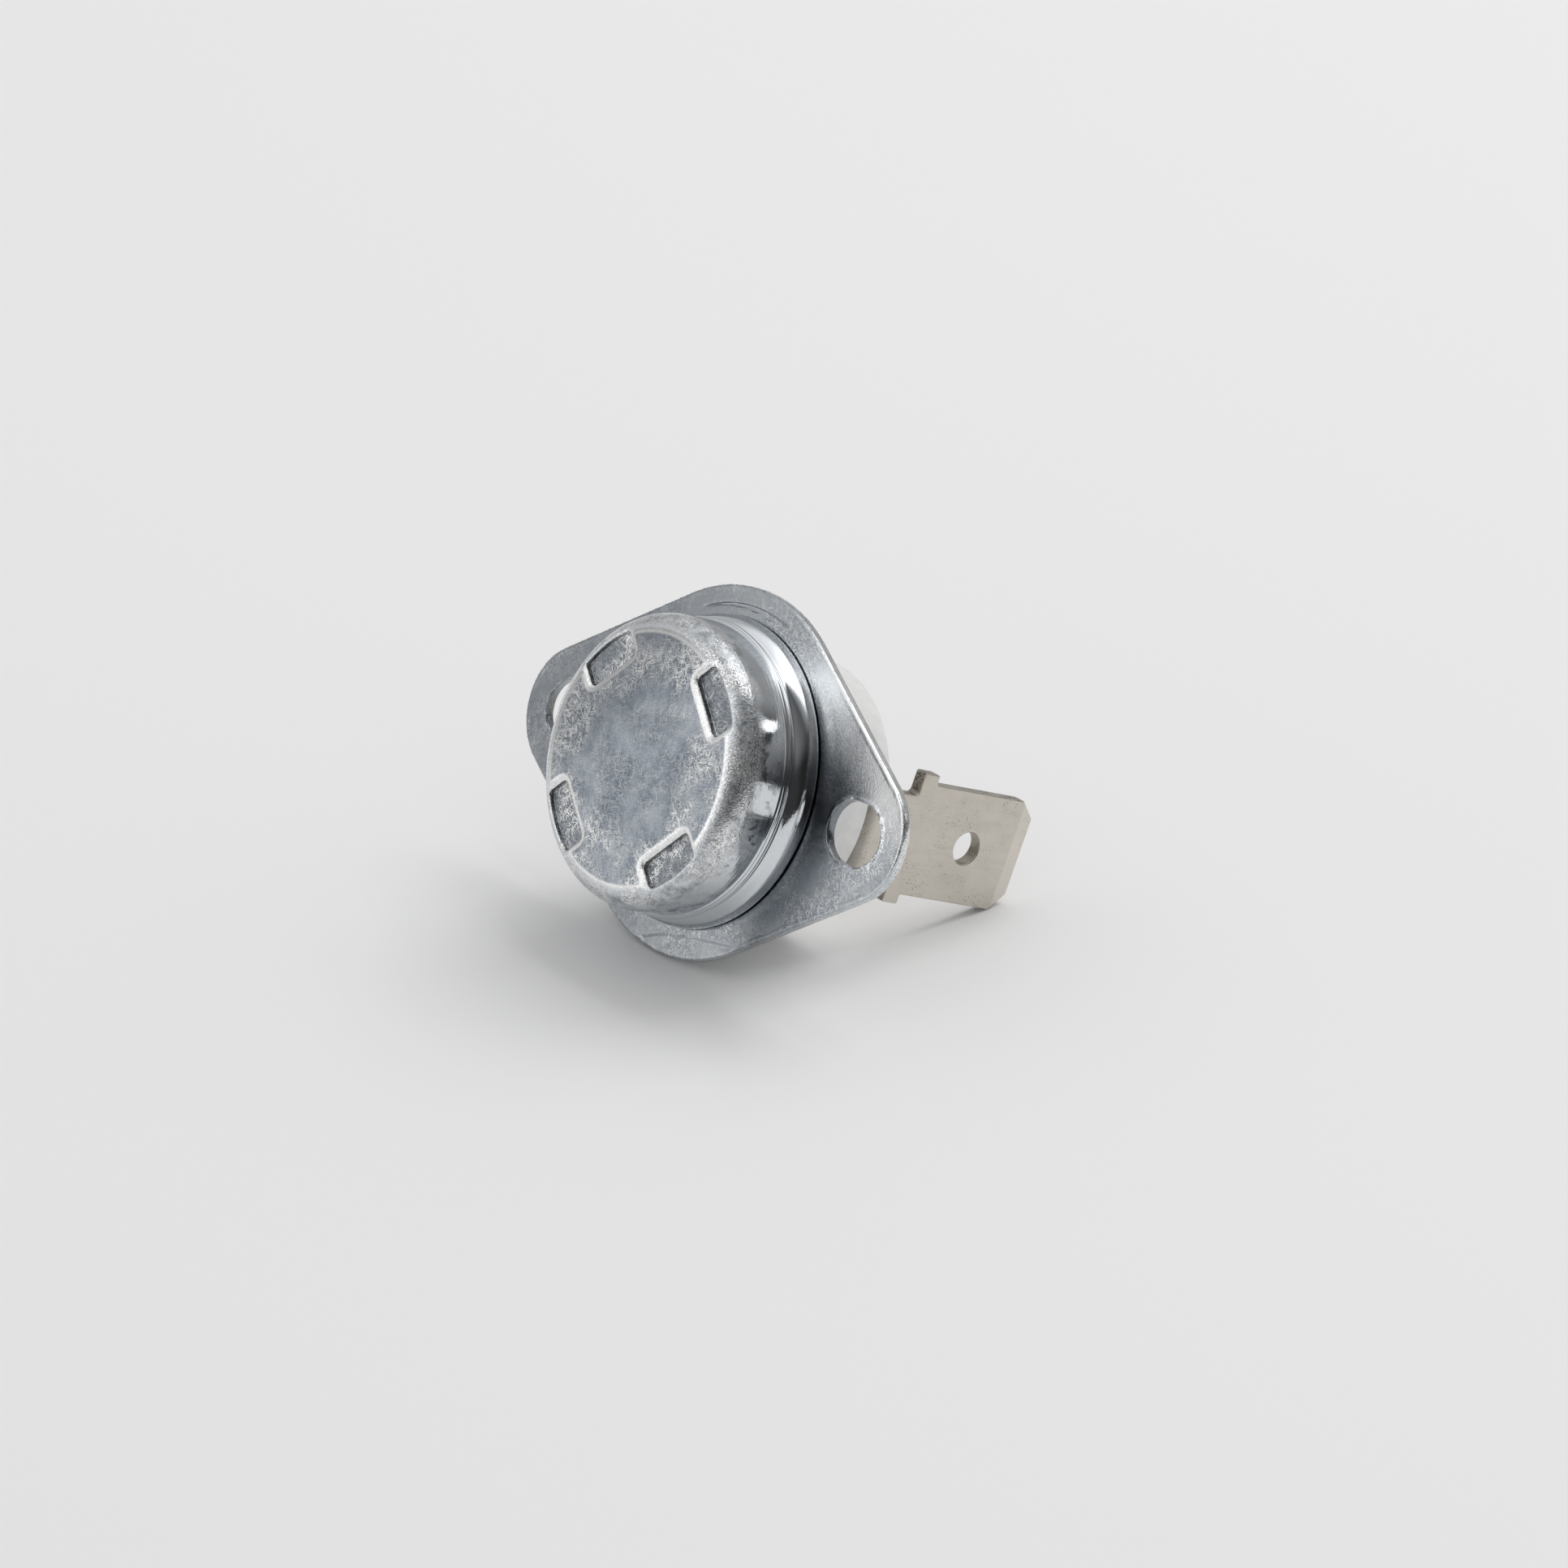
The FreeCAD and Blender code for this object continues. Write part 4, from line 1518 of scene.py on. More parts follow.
@dataclass(frozen=True)
class CapFinish(AluminiumFinish):
    """Drawn aluminium of the cap: a matt, nicked face and a wall that the die has polished.

    The pressed dimples have a painted highlight on their rolled rims and painted shade on their
    steep walls and floors, and painted shade darkens the face towards one side. The round edge is
    frosted where the draw has stretched the metal, and the wall has smudges and fine lines that run
    round it.
    """

    edge: str = "#D6DADE"
    # Painted shade on the dimples' floors.
    painted_floor_shade: str = "#7E868E"
    # Painted shade on the dimples' steep walls.
    painted_wall_shade: str = "#2C3238"
    frosted: str = "#70787F"
    dark_mottle_and_painted_highlight: str = "#78818A"
    dimple_circle: float = 7.20
    # Depths and reach of the painted highlight on the dimples' rolled rims.
    rim_highlight_depths: tuple[float, float] = (0.001, 0.018)
    rim_highlight_end: tuple[float, float] = (6.9, 7.2)
    wall_depths: tuple[float, float] = (0.16, 0.23)
    wall_end: tuple[float, float] = (0.40, 0.43)
    floor_shade_depths: tuple[float, float] = (0.34, 0.42)
    edge_depths: tuple[float, float] = (0.0, 0.10)
    frost_grain: Grain = Grain(0.55, 0.40, 0.62, 5.0)
    frost_depths: tuple[float, float] = (0.06, 0.30)
    frost_end: tuple[float, float] = (1.6, 1.0)
    frost_reach: tuple[float, float] = (7.2, 7.5)
    frost_share: float = 0.75
    smudge_grain: Grain = Grain(0.8, 0.52, 0.60, 4.0)
    smudge_groups: Grain = Grain(6.0, 0.42, 0.56, 1.0)
    smudge_depths: tuple[float, float] = (1.0, 1.5)
    smudge_end: tuple[float, float] = (3.3, 2.6)
    outer_reach: tuple[float, float] = (3.0, 5.6)
    middle_marks: float = 0.35
    rim_marks: float = 0.3
    rim_marks_end: tuple[float, float] = (0.20, 0.36)
    mottle_and_highlight_share: float = 0.28
    rubbed_depths: tuple[float, float] = (0.05, 0.5)
    # Painted shade: the face darkens along this axis, down to this share of its colour.
    face_shade_axis: tuple[float, float, float] = (-0.7, 0.0, 0.7)
    face_shade_reach: tuple[float, float] = (0.0, 5.5)
    face_shade_level: float = 0.66
    line_grain: Grain = Grain(1.0, 0.35, 0.65)
    line_stretch: tuple[float, float, float] = (0.25, 9.0, 0.25)
    line_depths: tuple[float, float] = (1.2, 3.0)
    line_relief: float = 0.16

    def build(self) -> bpy.types.Material:
        """Makes the material.

        Returns:
            The cap's material.
        """
        surface = Surface(self.name)
        masks = self.masks(surface)
        depth = surface.depth
        reach = surface.axis_distance()
        within = add_node(
            surface.tree, "ShaderNodeMath", {"operation": "LESS_THAN"}, {0: reach, 1: self.dimple_circle}
        ).outputs[0]
        raised = surface.mask(Span(depth, *self.edge_depths))
        # Painted highlight: the dimples' rolled rims are painted white.
        rim = surface.mask(Span(depth, *self.rim_highlight_depths), within, Span(reach, *self.rim_highlight_end, 1.0, 0.0))
        # Painted shade: the dimples' floors are painted a darker grey.
        floor = surface.mask(Span(depth, *self.floor_shade_depths), within)
        # Painted shade: the dimples' steep walls are painted near black.
        wall = surface.mask(Span(depth, *self.wall_depths), Span(depth, *self.wall_end, 1.0, 0.0), within)
        layers = [
            (masks.stain, self.stain),
            (raised, self.edge),
            (rim, self.bright),
            (floor, self.painted_floor_shade),
            (wall, self.painted_wall_shade),
            (self.frost(surface, reach), self.frosted),
            (self.smudges(surface), self.frosted),
        ]
        body = self.clouded(surface, masks, surface.coats(self.skin, layers))
        outer = surface.mask(Span(reach, *self.outer_reach))
        # Darker mottles in clusters round the outer face.
        dark_mottle_and_painted_highlight = surface.mask(
            outer,
            masks.cluster,
            Span(depth, *self.rubbed_depths, self.mottle_and_highlight_share, 0.0),
            Span(rim, 0.0, 1.0, 1.0, 0.0),
        )
        rolled = surface.mask(rim, Span(depth, *self.rim_marks_end, 1.0, 0.0))
        shown = surface.mask(
            masks.marked,
            masks.drawn,
            self.mark_strength,
            Span(outer, 0.0, 1.0, self.middle_marks, 1.0),
            Span(rolled, 0.0, 1.0, 1.0, self.rim_marks),
        )
        colour = surface.coats(body, [(dark_mottle_and_painted_highlight, self.dark_mottle_and_painted_highlight), (shown, self.bright)])
        # Painted shade: the face is darkened towards its -X, +Z side.
        colour = self.tip_wear_and_face_shade(surface, colour, raised)
        height = self.drawing_lines(surface, self.relief(surface, masks))
        return surface.finish(colour, self.rough(surface, masks), height, self.bump)

    def frost(self, surface: Surface, reach: bpy.types.NodeSocket) -> bpy.types.NodeSocket:
        """Masks the frosted patches of the round edge.

        Args:
            surface: The material while it is made.
            reach: Distance from the axis.

        Returns:
            The mask.
        """
        return surface.mask(
            surface.grain(self.frost_grain),
            Span(surface.depth, *self.frost_depths),
            Span(surface.depth, *self.frost_end),
            Span(reach, *self.frost_reach, 0.0, self.frost_share),
        )

    def smudges(self, surface: Surface) -> bpy.types.NodeSocket:
        """Masks the smudges of the wall, which lie in groups.

        Args:
            surface: The material while it is made.

        Returns:
            The mask.
        """
        return surface.mask(
            surface.grain(self.smudge_grain),
            Span(surface.depth, *self.smudge_depths),
            Span(surface.depth, *self.smudge_end),
            surface.grain(self.smudge_groups),
        )

    def tip_wear_and_face_shade(
        self, surface: Surface, colour: bpy.types.NodeSocket, raised: bpy.types.NodeSocket
    ) -> bpy.types.NodeSocket:
        """Darkens the face towards one side, which is painted shade.

        Args:
            surface: The material while it is made.
            colour: The colour.
            raised: Mask of all that lies behind the face, which stays as it is.

        Returns:
            The colour with that painted shade.
        """
        corner = add_node(
            surface.tree,
            "ShaderNodeVectorMath",
            {"operation": "DOT_PRODUCT"},
            {0: surface.place, 1: self.face_shade_axis},
        ).outputs["Value"]
        dulled = surface.mask(Span(corner, *self.face_shade_reach, 1.0, self.face_shade_level))
        strength = add_node(surface.tree, "ShaderNodeMath", {"operation": "MAXIMUM"}, {0: dulled, 1: raised})
        return add_node(
            surface.tree,
            "ShaderNodeVectorMath",
            {"operation": "SCALE"},
            {0: colour, "Scale": strength.outputs[0]},
        ).outputs["Vector"]

    def drawing_lines(self, surface: Surface, height: bpy.types.NodeSocket) -> bpy.types.NodeSocket:
        """Adds the fine lines that the die leaves round the wall.

        Args:
            surface: The material while it is made.
            height: Relief without the lines.

        Returns:
            The relief with them.
        """
        stretched = add_node(
            surface.tree,
            "ShaderNodeVectorMath",
            {"operation": "MULTIPLY"},
            {0: surface.place, 1: self.line_stretch},
        ).outputs["Vector"]
        lines = surface.mask(
            surface.grain(self.line_grain, stretched), Span(surface.depth, *self.line_depths)
        )
        return add_node(
            surface.tree,
            "ShaderNodeMath",
            {"operation": "MULTIPLY_ADD"},
            {0: lines, 1: self.line_relief, 2: height},
        ).outputs[0]


@dataclass(frozen=True)
class FlangeFinish(AluminiumFinish):
    """Rolled aluminium of the flange: smoother and brighter than the cap.

    It has painted shade towards one end, a painted highlight beyond the other hole, and a painted reflection
    of the cap's dark wall beside the cap.
    """

    # Painted shade towards the -X end.
    painted_end_shade: str = "#5C636B"
    # Painted reflection of the cap's dark wall, on the flange beside the cap.
    painted_cap_reflection: str = "#4F565D"
    end_shade_span: tuple[float, float] = (8.0, -9.0)
    end_shade_share: float = 0.55
    slant_axis: tuple[float, float, float] = (0.6, 0.0, 1.0)
    # Where the painted highlight lies, and how strong it is.
    highlight_slant: tuple[float, float] = (8.0, 11.0)
    highlight_along: tuple[float, float] = (3.0, 8.0)
    mottle_and_highlight_share: float = 0.8
    cap_reflection_reach: tuple[float, float] = (13.5, 9.5)
    cap_reflection_along: tuple[float, float] = (4.0, 7.5)
    cap_reflection_slant: tuple[float, float] = (10.5, 7.5)
    cap_reflection_share: float = 0.75

    def build(self) -> bpy.types.Material:
        """Makes the material.

        Returns:
            The flange's material.
        """
        surface = Surface(self.name)
        masks = self.masks(surface)
        along = surface.along
        slant = add_node(
            surface.tree,
            "ShaderNodeVectorMath",
            {"operation": "DOT_PRODUCT"},
            {0: surface.place, 1: self.slant_axis},
        ).outputs["Value"]
        shown = surface.mask(masks.marked, masks.drawn, self.mark_strength)
        # Painted shade: the flange darkens towards its -X end.
        painted_end_shade = surface.mask(Span(along, *self.end_shade_span, 0.0, self.end_shade_share))
        # Painted highlight: the flange is painted white beyond the +X hole, towards +Z.
        dark_mottle_and_painted_highlight = surface.mask(
            Span(slant, *self.highlight_slant), Span(along, *self.highlight_along), self.mottle_and_highlight_share
        )
        # Painted reflection: the flange beside the cap is painted dark, as the cap's dark wall would show in
        # it.
        painted_cap_reflection = surface.mask(
            Span(surface.axis_distance(), *self.cap_reflection_reach),
            Span(along, *self.cap_reflection_along),
            Span(slant, *self.cap_reflection_slant),
            self.cap_reflection_share,
        )
        body = self.clouded(surface, masks, surface.coats(self.skin, [(masks.stain, self.stain)]))
        layers = [(shown, self.bright), (painted_end_shade, self.painted_end_shade), (dark_mottle_and_painted_highlight, self.bright), (painted_cap_reflection, self.painted_cap_reflection)]
        colour = surface.coats(body, layers)
        return surface.finish(
            colour, self.rough(surface, masks), self.relief(surface, masks), self.bump
        )


@dataclass(frozen=True)
class PlateFinish:
    """Nickel plating on stamped brass: a warm grey metal.

    Dark specks lie in groups where the plating is porous, a faint warm stain clouds it, and the
    bevelled tip is lighter with wear. Sizes are in millimetres. The fine grain is drawn coarser than
    the real one, as coarse as it needs to show.
    """

    name: str = "nickel_plated_brass"
    colour: str = "#D6D0C6"
    speck: str = "#837A6F"
    roughness: tuple[float, float] = (0.30, 0.42)
    stain: str = "#C4BAAE"
    tip_wear_and_face_shade: str = "#E4DED6"
    specks: Grain = Grain(0.10, 0.64, 0.72, 1.0)
    speck_groups: Grain = Grain(2.2, 0.46, 0.60, 3.0)
    clouds: Grain = Grain(1.1, 0.35, 0.65, 4.0)
    fine: Grain = Grain(0.07, 0.40, 0.62)
    hairs: Scratches = Scratches(SOLID_TURNS, 0.04, 3.0, 0.69)
    hair_relief: float = -1.2
    stains: Grain = Grain(1.6, 0.50, 0.66, 5.0)
    stain_stretch: tuple[float, float, float] = (1.0, 0.7, 1.3)
    stain_share: float = 0.18
    tip_depths: tuple[float, float] = (21.45, 21.60)
    tip_share: float = 0.55
    bump: float = 0.0025

    def build(self) -> bpy.types.Material:
        """Makes the material.

        Returns:
            The plating's material.
        """
        surface = Surface(self.name)
        tree = surface.tree
        cloud = surface.grain(self.clouds)
        fine = surface.grain(self.fine)
        hairs = surface.scratches(self.hairs)
        specks = surface.mask(surface.grain(self.specks), surface.grain(self.speck_groups))
        streak = add_node(
            tree, "ShaderNodeVectorMath", {"operation": "MULTIPLY"}, {0: surface.place, 1: self.stain_stretch}
        ).outputs["Vector"]
        stain = surface.mask(surface.grain(self.stains, streak), self.stain_share)
        start, end = self.tip_depths
        tip = add_node(
            tree,
            "ShaderNodeMapRange",
            inputs={
                "Value": surface.depth,
                "From Min": start,
                "From Max": end,
                "To Min": 0.0,
                "To Max": self.tip_share,
            },
        ).outputs["Result"]
        colour = surface.coats(self.colour, [(stain, self.stain), (tip, self.tip_wear_and_face_shade), (specks, self.speck)])
        low, high = self.roughness
        rough = add_node(tree, "ShaderNodeMapRange", inputs={"Value": cloud, "To Min": low, "To Max": high})
        height = add_node(
            tree, "ShaderNodeMath", {"operation": "MULTIPLY_ADD"}, {0: hairs, 1: self.hair_relief, 2: fine}
        )
        return surface.finish(colour, rough.outputs["Result"], height.outputs[0], self.bump)


@dataclass(frozen=True)
class CeramicFinish:
    """Steatite, pressed and fired without a glaze: a dense, opaque body with a faint grain.

    Fine pits break up the soft sheen of its fired skin. Sizes are in millimetres. The pits are
    drawn as coarse as they need to show.
    """

    name: str
    colour: str
    shade: str
    roughness: float = 0.42
    refraction: float = 1.55
    clouds: Grain = Grain(0.8, 0.35, 0.65, 4.0)
    pits: Grain = Grain(0.12, 0.62, 0.72)
    pit_strength: float = 0.8
    pit_depth: float = 0.01

    def build(self) -> bpy.types.Material:
        """Makes the material.

        Returns:
            The ceramic's material.
        """
        surface = Surface(self.name)
        cloud = surface.grain(self.clouds)
        pits = surface.grain(self.pits)
        body = surface.coats(self.colour, [(cloud, self.shade)])
        surface.tree.links.new(body, surface.shader.inputs["Base Color"])
        surface.shader.inputs["Roughness"].default_value = self.roughness
        surface.shader.inputs["IOR"].default_value = self.refraction
        bump = add_node(
            surface.tree,
            "ShaderNodeBump",
            {"invert": True},
            {"Height": pits, "Strength": self.pit_strength, "Distance": self.pit_depth * MM},
        )
        surface.tree.links.new(bump.outputs["Normal"], surface.shader.inputs["Normal"])
        return surface.material


@dataclass(frozen=True)
class StripFinish:
    """Small rolled or turned metal part: one even metal, softly clouded, with a fine grain.

    Sizes are in millimetres. The grain is drawn as coarse as it needs to show.
    """

    name: str
    colour: str
    shade: str
    roughness: tuple[float, float] = (0.22, 0.38)
    clouds: Grain = Grain(0.5, 0.35, 0.65, 4.0)
    fine: Grain = Grain(0.06, 0.40, 0.62)
    bump: float = 0.002

    def build(self) -> bpy.types.Material:
        """Makes the material.

        Returns:
            The metal's material.
        """
        surface = Surface(self.name)
        cloud = surface.grain(self.clouds)
        fine = surface.grain(self.fine)
        colour = surface.coats(self.colour, [(cloud, self.shade)])
        low, high = self.roughness
        rough = add_node(
            surface.tree, "ShaderNodeMapRange", inputs={"Value": cloud, "To Min": low, "To Max": high}
        )
        return surface.finish(colour, rough.outputs["Result"], fine, self.bump)


Finish = CapFinish | FlangeFinish | PlateFinish | CeramicFinish | StripFinish

# Deep drawn aluminium: matt and stained on the face, and a soft mirror on the wall.
CAP_FINISH = CapFinish(
    "cap_drawn_aluminium",
    skin="#B6BEC6",
    stain="#7B8794",
    roughness=(0.15, 0.25),
    stains=Grain(2.0, 0.38, 0.62, 5.0),
    nicks=Scratches(FLAT_TURNS, 0.06, 0.50, 0.645),
    bump=0.010,
    polish=0.80,
)
# Rolled aluminium, stamped: clean silver with sparse nicks.
FLANGE_FINISH = FlangeFinish(
    "flange_rolled_aluminium",
    skin="#C8CDD1",
    stain="#A6AEB6",
    roughness=(0.12, 0.20),
    stains=Grain(2.5, 0.40, 0.65, 5.0),
    nicks=Scratches(FLAT_TURNS, 0.06, 0.50, 0.69),
    bump=0.004,
)
# Plated strip: warm grey, with a satin gloss.
TERMINAL_PLATE = PlateFinish()
# Its stamped edge, where the plating is thin over torn metal: darker, rougher and full of specks.
CUT_PLATE = PlateFinish(
    "nickel_plated_cut_edge",
    colour="#A9A399",
    speck="#36322D",
    roughness=(0.30, 0.45),
    stain="#6B665E",
    specks=Grain(0.10, 0.50, 0.60, 1.0),
)
# White steatite for the body and the guide plate: chalky, neutral and very pale.
WHITE_CERAMIC = CeramicFinish("white_steatite", "#EBEBE9", "#E2E2E1")
# Ivory steatite for the pin: the same body with a warm cast.
IVORY_CERAMIC = CeramicFinish("ivory_steatite", "#EDE6D6", "#DFD7C4")
# Rivets and washers: pale steel under nickel.
RIVET_METAL = StripFinish("nickel_plated_steel", "#D2CFC8", "#B5B1A8")
# The disc: a duller, rougher grey, as rolled and heat treated.
BIMETAL_STRIP = StripFinish("bimetal_strip", "#A9A59E", "#8D8983", (0.30, 0.45))
# The arm's spring: reddish bronze.
SPRING_BRONZE = StripFinish("phosphor_bronze", "#C99562", "#B37F4E")
# Standoff, carrier and bracket: yellow brass.
ROLLED_BRASS = StripFinish("rolled_brass", "#D9B566", "#C29B4C")
# The contacts: the palest metal here, turned smooth.
CONTACT_SILVER = StripFinish("contact_silver", "#E6E3DC", "#CBC7BF", (0.18, 0.30))

NODE_FINISHES = {
    "ceramic_body": WHITE_CERAMIC,
    "guide_plate": WHITE_CERAMIC,
    "push_pin": IVORY_CERAMIC,
    "bimetal_disc": BIMETAL_STRIP,
    "rivet_right": RIVET_METAL,
    "rivet_left": RIVET_METAL,
    "washer_right": RIVET_METAL,
    "washer_left": RIVET_METAL,
    "arm_standoff": ROLLED_BRASS,
    "arm_carrier": ROLLED_BRASS,
    "contact_arm": SPRING_BRONZE,
    "moving_contact": CONTACT_SILVER,
    "fixed_contact_bracket": ROLLED_BRASS,
    "fixed_contact": CONTACT_SILVER,
}


@dataclass
class FinishBook:
    """Builds each finish once and hands its material out again."""

    built: dict[str, bpy.types.Material] = field(default_factory=dict)

    def material(self, finish: Finish) -> bpy.types.Material:
        """Gives a finish's material.

        Args:
            finish: The finish.

        Returns:
            Its material.
        """
        if finish.name not in self.built:
            self.built[finish.name] = finish.build()
        return self.built[finish.name]

    def dress(self, made: bpy.types.Object, finish: Finish) -> None:
        """Puts a finish on an object.

        Args:
            made: The object.
            finish: Its finish.
        """
        if made.data.materials:
            made.data.materials.clear()
        made.data.materials.append(self.material(finish))


@dataclass(frozen=True)
class SoftBox:
    """One soft box: where it hangs, its size in metres and its power in watts.

    Azimuth runs in degrees from straight behind the object towards the camera's right, elevation
    in degrees above the table, and the distance from the object is in metres.
    """

    name: str
    azimuth: float
    elevation: float
    distance: float
    size: float
    power: float
    reflected: bool = True


@dataclass(frozen=True)
class Studio:
    """Pale table, soft light and the camera at the photograph's viewing angle.

    The camera's place is in millimetres and was fitted to the photograph. The room is a ring of
    walls under a ceiling, which only gloss shows: each pair is an azimuth in degrees, counted as a
    soft box's is, and the brightness there.
    """

    camera_place: tuple[float, float, float] = (382.17, -346.90, 59.546)
    camera_right: tuple[float, float, float] = (0.632851, 0.722400, 0.278635)
    camera_up: tuple[float, float, float] = (-0.270757, -0.130670, 0.953738)
    lens: float = 223.6
    sensor: float = 36.0
    table_radius: float = 260.0
    table_fade: tuple[float, float] = (0.62, 0.99)
    table_colour: str = "#F0F0F0"
    table_roughness: float = 0.7
    table_gloss: float = 0.25
    background: float = 0.84
    fill: float = 0.60
    boxes: Sequence[SoftBox] = (
        SoftBox("key_box", 50.0, 57.0, 0.9, 0.55, 3.3, reflected=False),
        SoftBox("right_window", 78.0, 17.0, 0.9, 0.09, 0.05),
    )
    ceiling_start: tuple[float, float] = (0.44, 0.74)
    walls: Sequence[tuple[float, float]] = (
        (-180.0, 0.04),
        (-163.0, 0.05),
        (-150.0, 0.07),
        (-138.0, 0.10),
        (-127.0, 0.30),
        (-117.0, 0.95),
        (-108.0, 1.40),
        (-97.0, 1.40),
        (-89.0, 0.66),
        (-60.0, 0.55),
        (-30.0, 0.52),
        (-10.0, 0.52),
        (25.0, 0.36),
        (64.0, 0.30),
        (74.0, 0.12),
        (84.0, 0.03),
        (107.0, 0.02),
        (138.0, 0.02),
        (152.0, 0.04),
        (180.0, 0.04),
    )
    ceiling: Sequence[tuple[float, float]] = (
        (-180.0, 0.25),
        (-150.0, 0.60),
        (-115.0, 1.45),
        (-90.0, 1.20),
        (-60.0, 0.55),
        (-25.0, 0.75),
        (10.0, 1.10),
        (45.0, 1.90),
        (78.0, 1.90),
        (92.0, 0.40),
        (112.0, 0.10),
        (140.0, 0.16),
        (180.0, 0.25),
    )

    def camera(self) -> bpy.types.Object:
        """Makes the camera.

        Returns:
            The camera.
        """
        right = Vector(self.camera_right).normalized()
        up = Vector(self.camera_up).normalized()
        back = right.cross(up)
        turn = Matrix((right, up, back)).transposed()
        data = bpy.data.cameras.new("photo_camera")
        data.lens = self.lens
        data.sensor_width = self.sensor
        data.clip_start = 0.01
        data.clip_end = 20.0
        made = bpy.data.objects.new("photo_camera", data)
        made.matrix_world = Matrix.Translation(Vector(self.camera_place) * MM) @ turn.to_4x4()
        bpy.context.scene.collection.objects.link(made)
        bpy.context.scene.camera = made
        return made

    def direction(self, azimuth: float, elevation: float) -> Vector:
        """Direction over the table, seen from the object.

        Args:
            azimuth: Degrees from straight behind the object towards the camera's right.
            elevation: Degrees above the table.

        Returns:
            The unit direction in the row frame.
        """
        right = Vector(self.camera_right)
        view = right.cross(Vector(self.camera_up)) * -1.0
        ahead = (view - FLOOR_NORMAL * view.dot(FLOOR_NORMAL)).normalized()
        side = ahead.cross(FLOOR_NORMAL)
        around, over = math.radians(azimuth), math.radians(elevation)
        flat = ahead * math.cos(around) + side * math.sin(around)
        return flat * math.cos(over) + FLOOR_NORMAL * math.sin(over)

    def lamp(self, box: SoftBox) -> bpy.types.Object:
        """Makes one soft box that faces the object.

        Args:
            box: Its place, size and power.

        Returns:
            The lamp.
        """
        data = bpy.data.lights.new(box.name, "AREA")
        data.shape = "RECTANGLE"
        data.size = box.size
        data.size_y = box.size
        data.energy = box.power
        made = bpy.data.objects.new(box.name, data)
        towards = self.direction(box.azimuth, box.elevation)
        made.rotation_mode = "QUATERNION"
        made.rotation_quaternion = towards.to_track_quat("Z", "Y")
        made.location = towards * box.distance + OBJECT_MIDDLE * MM
        made.visible_glossy = box.reflected
        bpy.context.scene.collection.objects.link(made)
        return made

    def table(self) -> bpy.types.Object:
        """Makes the table, which fades out at its edge and doesn't hide the object from below.

        Returns:
            The table.
        """
        turn = FLOOR_NORMAL.to_track_quat("Z", "Y").to_matrix()
        form = bmesh.new()
        bmesh.ops.create_circle(form, cap_ends=True, segments=96, radius=self.table_radius * MM)
        for corner in form.verts:
            corner.co = turn @ corner.co + FLOOR_POINT * MM
        mesh = bpy.data.meshes.new("table_top")
        form.to_mesh(mesh)
        form.free()
        made = bpy.data.objects.new("table_top", mesh)
        bpy.context.scene.collection.objects.link(made)
        material = bpy.data.materials.new("matt_table")
        material.use_nodes = True
        tree = material.node_tree
        tree.nodes.clear()
        top = add_node(
            tree,
            "ShaderNodeBsdfPrincipled",
            inputs={
                "Base Color": linear_colour(self.table_colour),
                "Roughness": self.table_roughness,
                "Specular IOR Level": self.table_gloss,
            },
        )
        clear = add_node(tree, "ShaderNodeBsdfTransparent")
        place = add_node(tree, "ShaderNodeTexCoord")
        away = add_node(
            tree,
            "ShaderNodeVectorMath",
            {"operation": "DISTANCE"},
            {0: place.outputs["Object"], 1: tuple(FLOOR_POINT * MM)},
        )
        start, end = self.table_fade
        fade = add_node(
            tree,
            "ShaderNodeMapRange",
            {"interpolation_type": "SMOOTHSTEP"},
            {
                "Value": away.outputs["Value"],
                "From Min": start * self.table_radius * MM,
                "From Max": end * self.table_radius * MM,
            },
        )
        below = add_node(tree, "ShaderNodeNewGeometry")
        gone = add_node(
            tree,
            "ShaderNodeMath",
            {"operation": "MAXIMUM"},
            {0: fade.outputs["Result"], 1: below.outputs["Backfacing"]},
        )
        mixed = add_node(
            tree,
            "ShaderNodeMixShader",
            inputs={"Fac": gone.outputs[0], 1: top.outputs["BSDF"], 2: clear.outputs["BSDF"]},
        )
        add_node(tree, "ShaderNodeOutputMaterial", inputs={"Surface": mixed.outputs["Shader"]})
        mesh.materials.append(material)
        return made

    def world(self) -> None:
        """Makes the room as a ring of light and dark walls under a pale ceiling."""
        world = bpy.data.worlds.new("studio")
        bpy.context.scene.world = world
        world.use_nodes = True
        tree = world.node_tree
        tree.nodes.clear()
        place = add_node(tree, "ShaderNodeTexCoord").outputs["Generated"]
        ahead, side = self.direction(0.0, 0.0), self.direction(90.0, 0.0)
        parts = [
            add_node(tree, "ShaderNodeVectorMath", {"operation": "DOT_PRODUCT"}, {0: place, 1: tuple(axis)})
            for axis in (ahead, side, FLOOR_NORMAL)
        ]
        angle = add_node(
            tree,
            "ShaderNodeMath",
            {"operation": "ARCTAN2"},
            {0: parts[1].outputs["Value"], 1: parts[0].outputs["Value"]},
        )
        around = add_node(
            tree,
            "ShaderNodeMapRange",
            {"clamp": True},
            {"Value": angle.outputs[0], "From Min": -math.pi, "From Max": math.pi},
        )
        rings = []
        for levels in (self.walls, self.ceiling):
            ramp = add_node(tree, "ShaderNodeValToRGB", inputs={"Fac": around.outputs["Result"]})
            stops = ramp.color_ramp.elements
            stops.remove(stops[1])
            for index, (azimuth, level) in enumerate(levels):
                spot = (azimuth + 180.0) / 360.0
                stop = stops.new(spot) if index else stops[0]
                stop.position = spot
                stop.color = (level, level, level, 1.0)
            rings.append(ramp.outputs["Color"])
        low, full = self.ceiling_start
        high = add_node(
            tree,
            "ShaderNodeMapRange",
            {"interpolation_type": "SMOOTHSTEP"},
            {"Value": parts[2].outputs["Value"], "From Min": low, "From Max": full},
        )
        room = add_node(
            tree,
            "ShaderNodeMix",
            {"data_type": "FLOAT"},
            {"Factor": high.outputs["Result"], 2: rings[0], 3: rings[1]},
        )
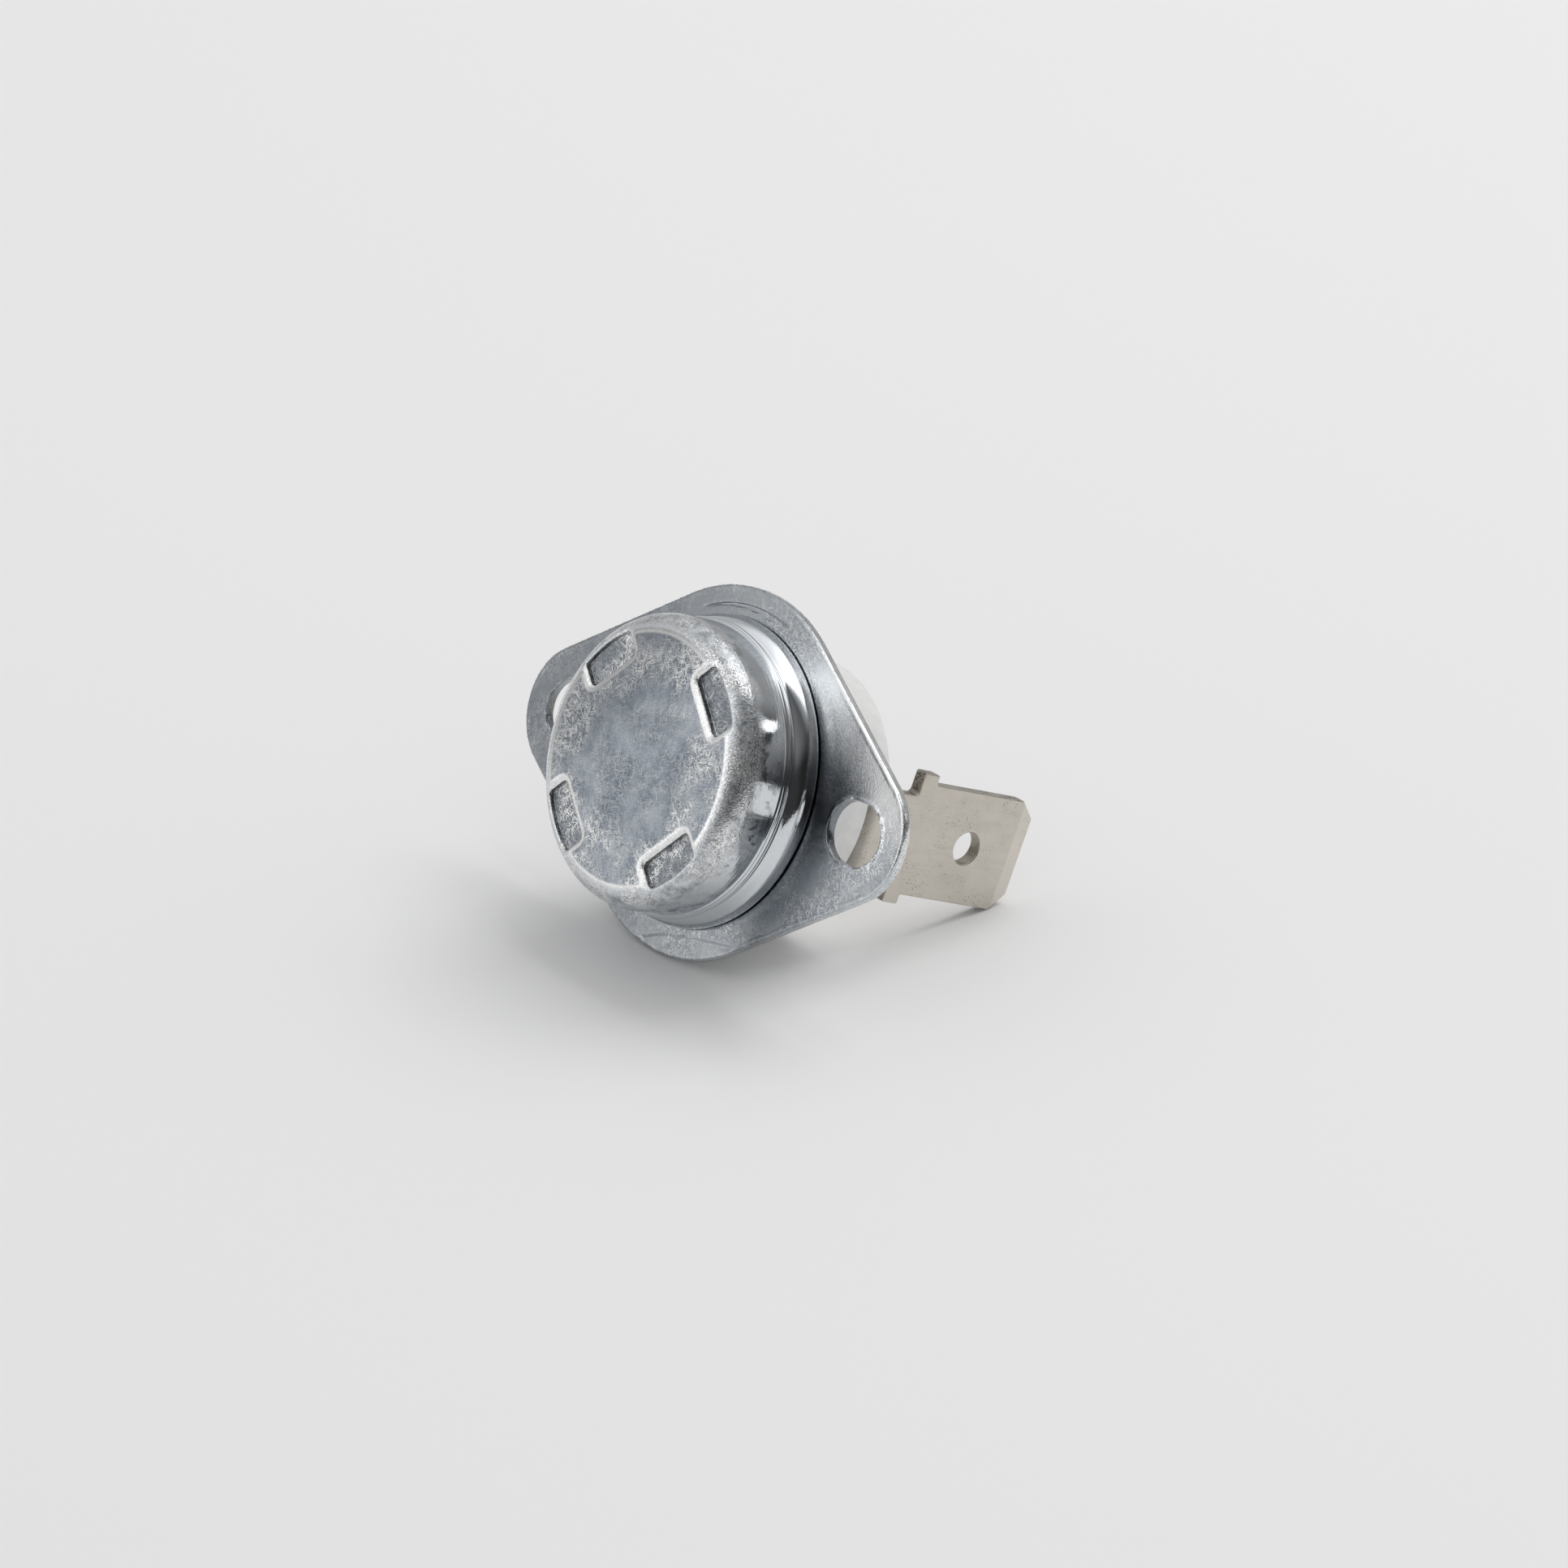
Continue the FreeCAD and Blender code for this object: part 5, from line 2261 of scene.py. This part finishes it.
        path = add_node(tree, "ShaderNodeLightPath")
        lit = add_node(
            tree,
            "ShaderNodeMix",
            {"data_type": "FLOAT"},
            {"Factor": path.outputs["Is Glossy Ray"], 2: self.fill, 3: room.outputs[0]},
        )
        shown = add_node(
            tree,
            "ShaderNodeMix",
            {"data_type": "FLOAT"},
            {"Factor": path.outputs["Is Camera Ray"], 2: lit.outputs[0], 3: self.background},
        )
        back = add_node(
            tree, "ShaderNodeBackground", inputs={"Color": (1.0, 1.0, 1.0, 1.0), "Strength": shown.outputs[0]}
        )
        add_node(tree, "ShaderNodeOutputWorld", inputs={"Surface": back.outputs["Background"]})

    def build(self) -> None:
        """Makes the whole studio."""
        self.camera()
        self.table()
        self.world()
        for box in self.boxes:
            self.lamp(box)
        bpy.context.scene.view_settings.view_transform = "Standard"


@dataclass
class Thermostat:
    """The whole object: shells that replace four solids, and finishes for the others."""

    nodes: dict[str, bpy.types.Object]
    book: FinishBook = field(default_factory=FinishBook)

    def shell(self, made: bpy.types.Object, finish: Finish, body: str, node: str, slot: str) -> None:
        """Dresses a shell and puts it in a solid's place.

        Args:
            made: The shell's object.
            finish: Its finish.
            body: Body that it rides on.
            node: Solid that it replaces.
            slot: Material slot of the record. It is not used.
        """
        self.book.dress(made, finish)
        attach(made, body)
        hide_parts(node)
        LOG.info("%s: %d faces", made.name, len(made.data.polygons))

    def build(self) -> None:
        """Makes and dresses every piece."""
        self.shell(CapShell().build(), CAP_FINISH, "housing", "sensing_cap", "cap_aluminium")
        self.shell(FlangeSheet().build(), FLANGE_FINISH, "flange", "mounting_flange", "flange_aluminium")
        burr = EdgeBurr().build(FlangeSheet(), self.book.material(FLANGE_FINISH))
        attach(burr, "flange")
        LOG.info("%s: %d faces", burr.name, len(burr.data.polygons))
        for side in Side:
            node = f"terminal_{side.name.lower()}"
            made = TabSheet(side).build()
            self.shell(made, TERMINAL_PLATE, "housing", node, "nickel_plate")
            made.data.materials.append(self.book.material(CUT_PLATE))
        for node, finish in NODE_FINISHES.items():
            solid = self.nodes[node]
            self.book.dress(solid, finish)
            solid.data.shade_smooth()
            solid.data.set_sharp_from_angle(angle=SOLID_CREASE)
            LOG.info("%s: finish %s", node, finish.name)


def main() -> None:
    """Builds the object and the studio in order."""
    logging.basicConfig(level=logging.INFO, format="%(name)s: %(message)s")
    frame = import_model()
    Studio().build()
    Thermostat(frame["nodes"]).build()


if __name__ == "__main__":
    main()
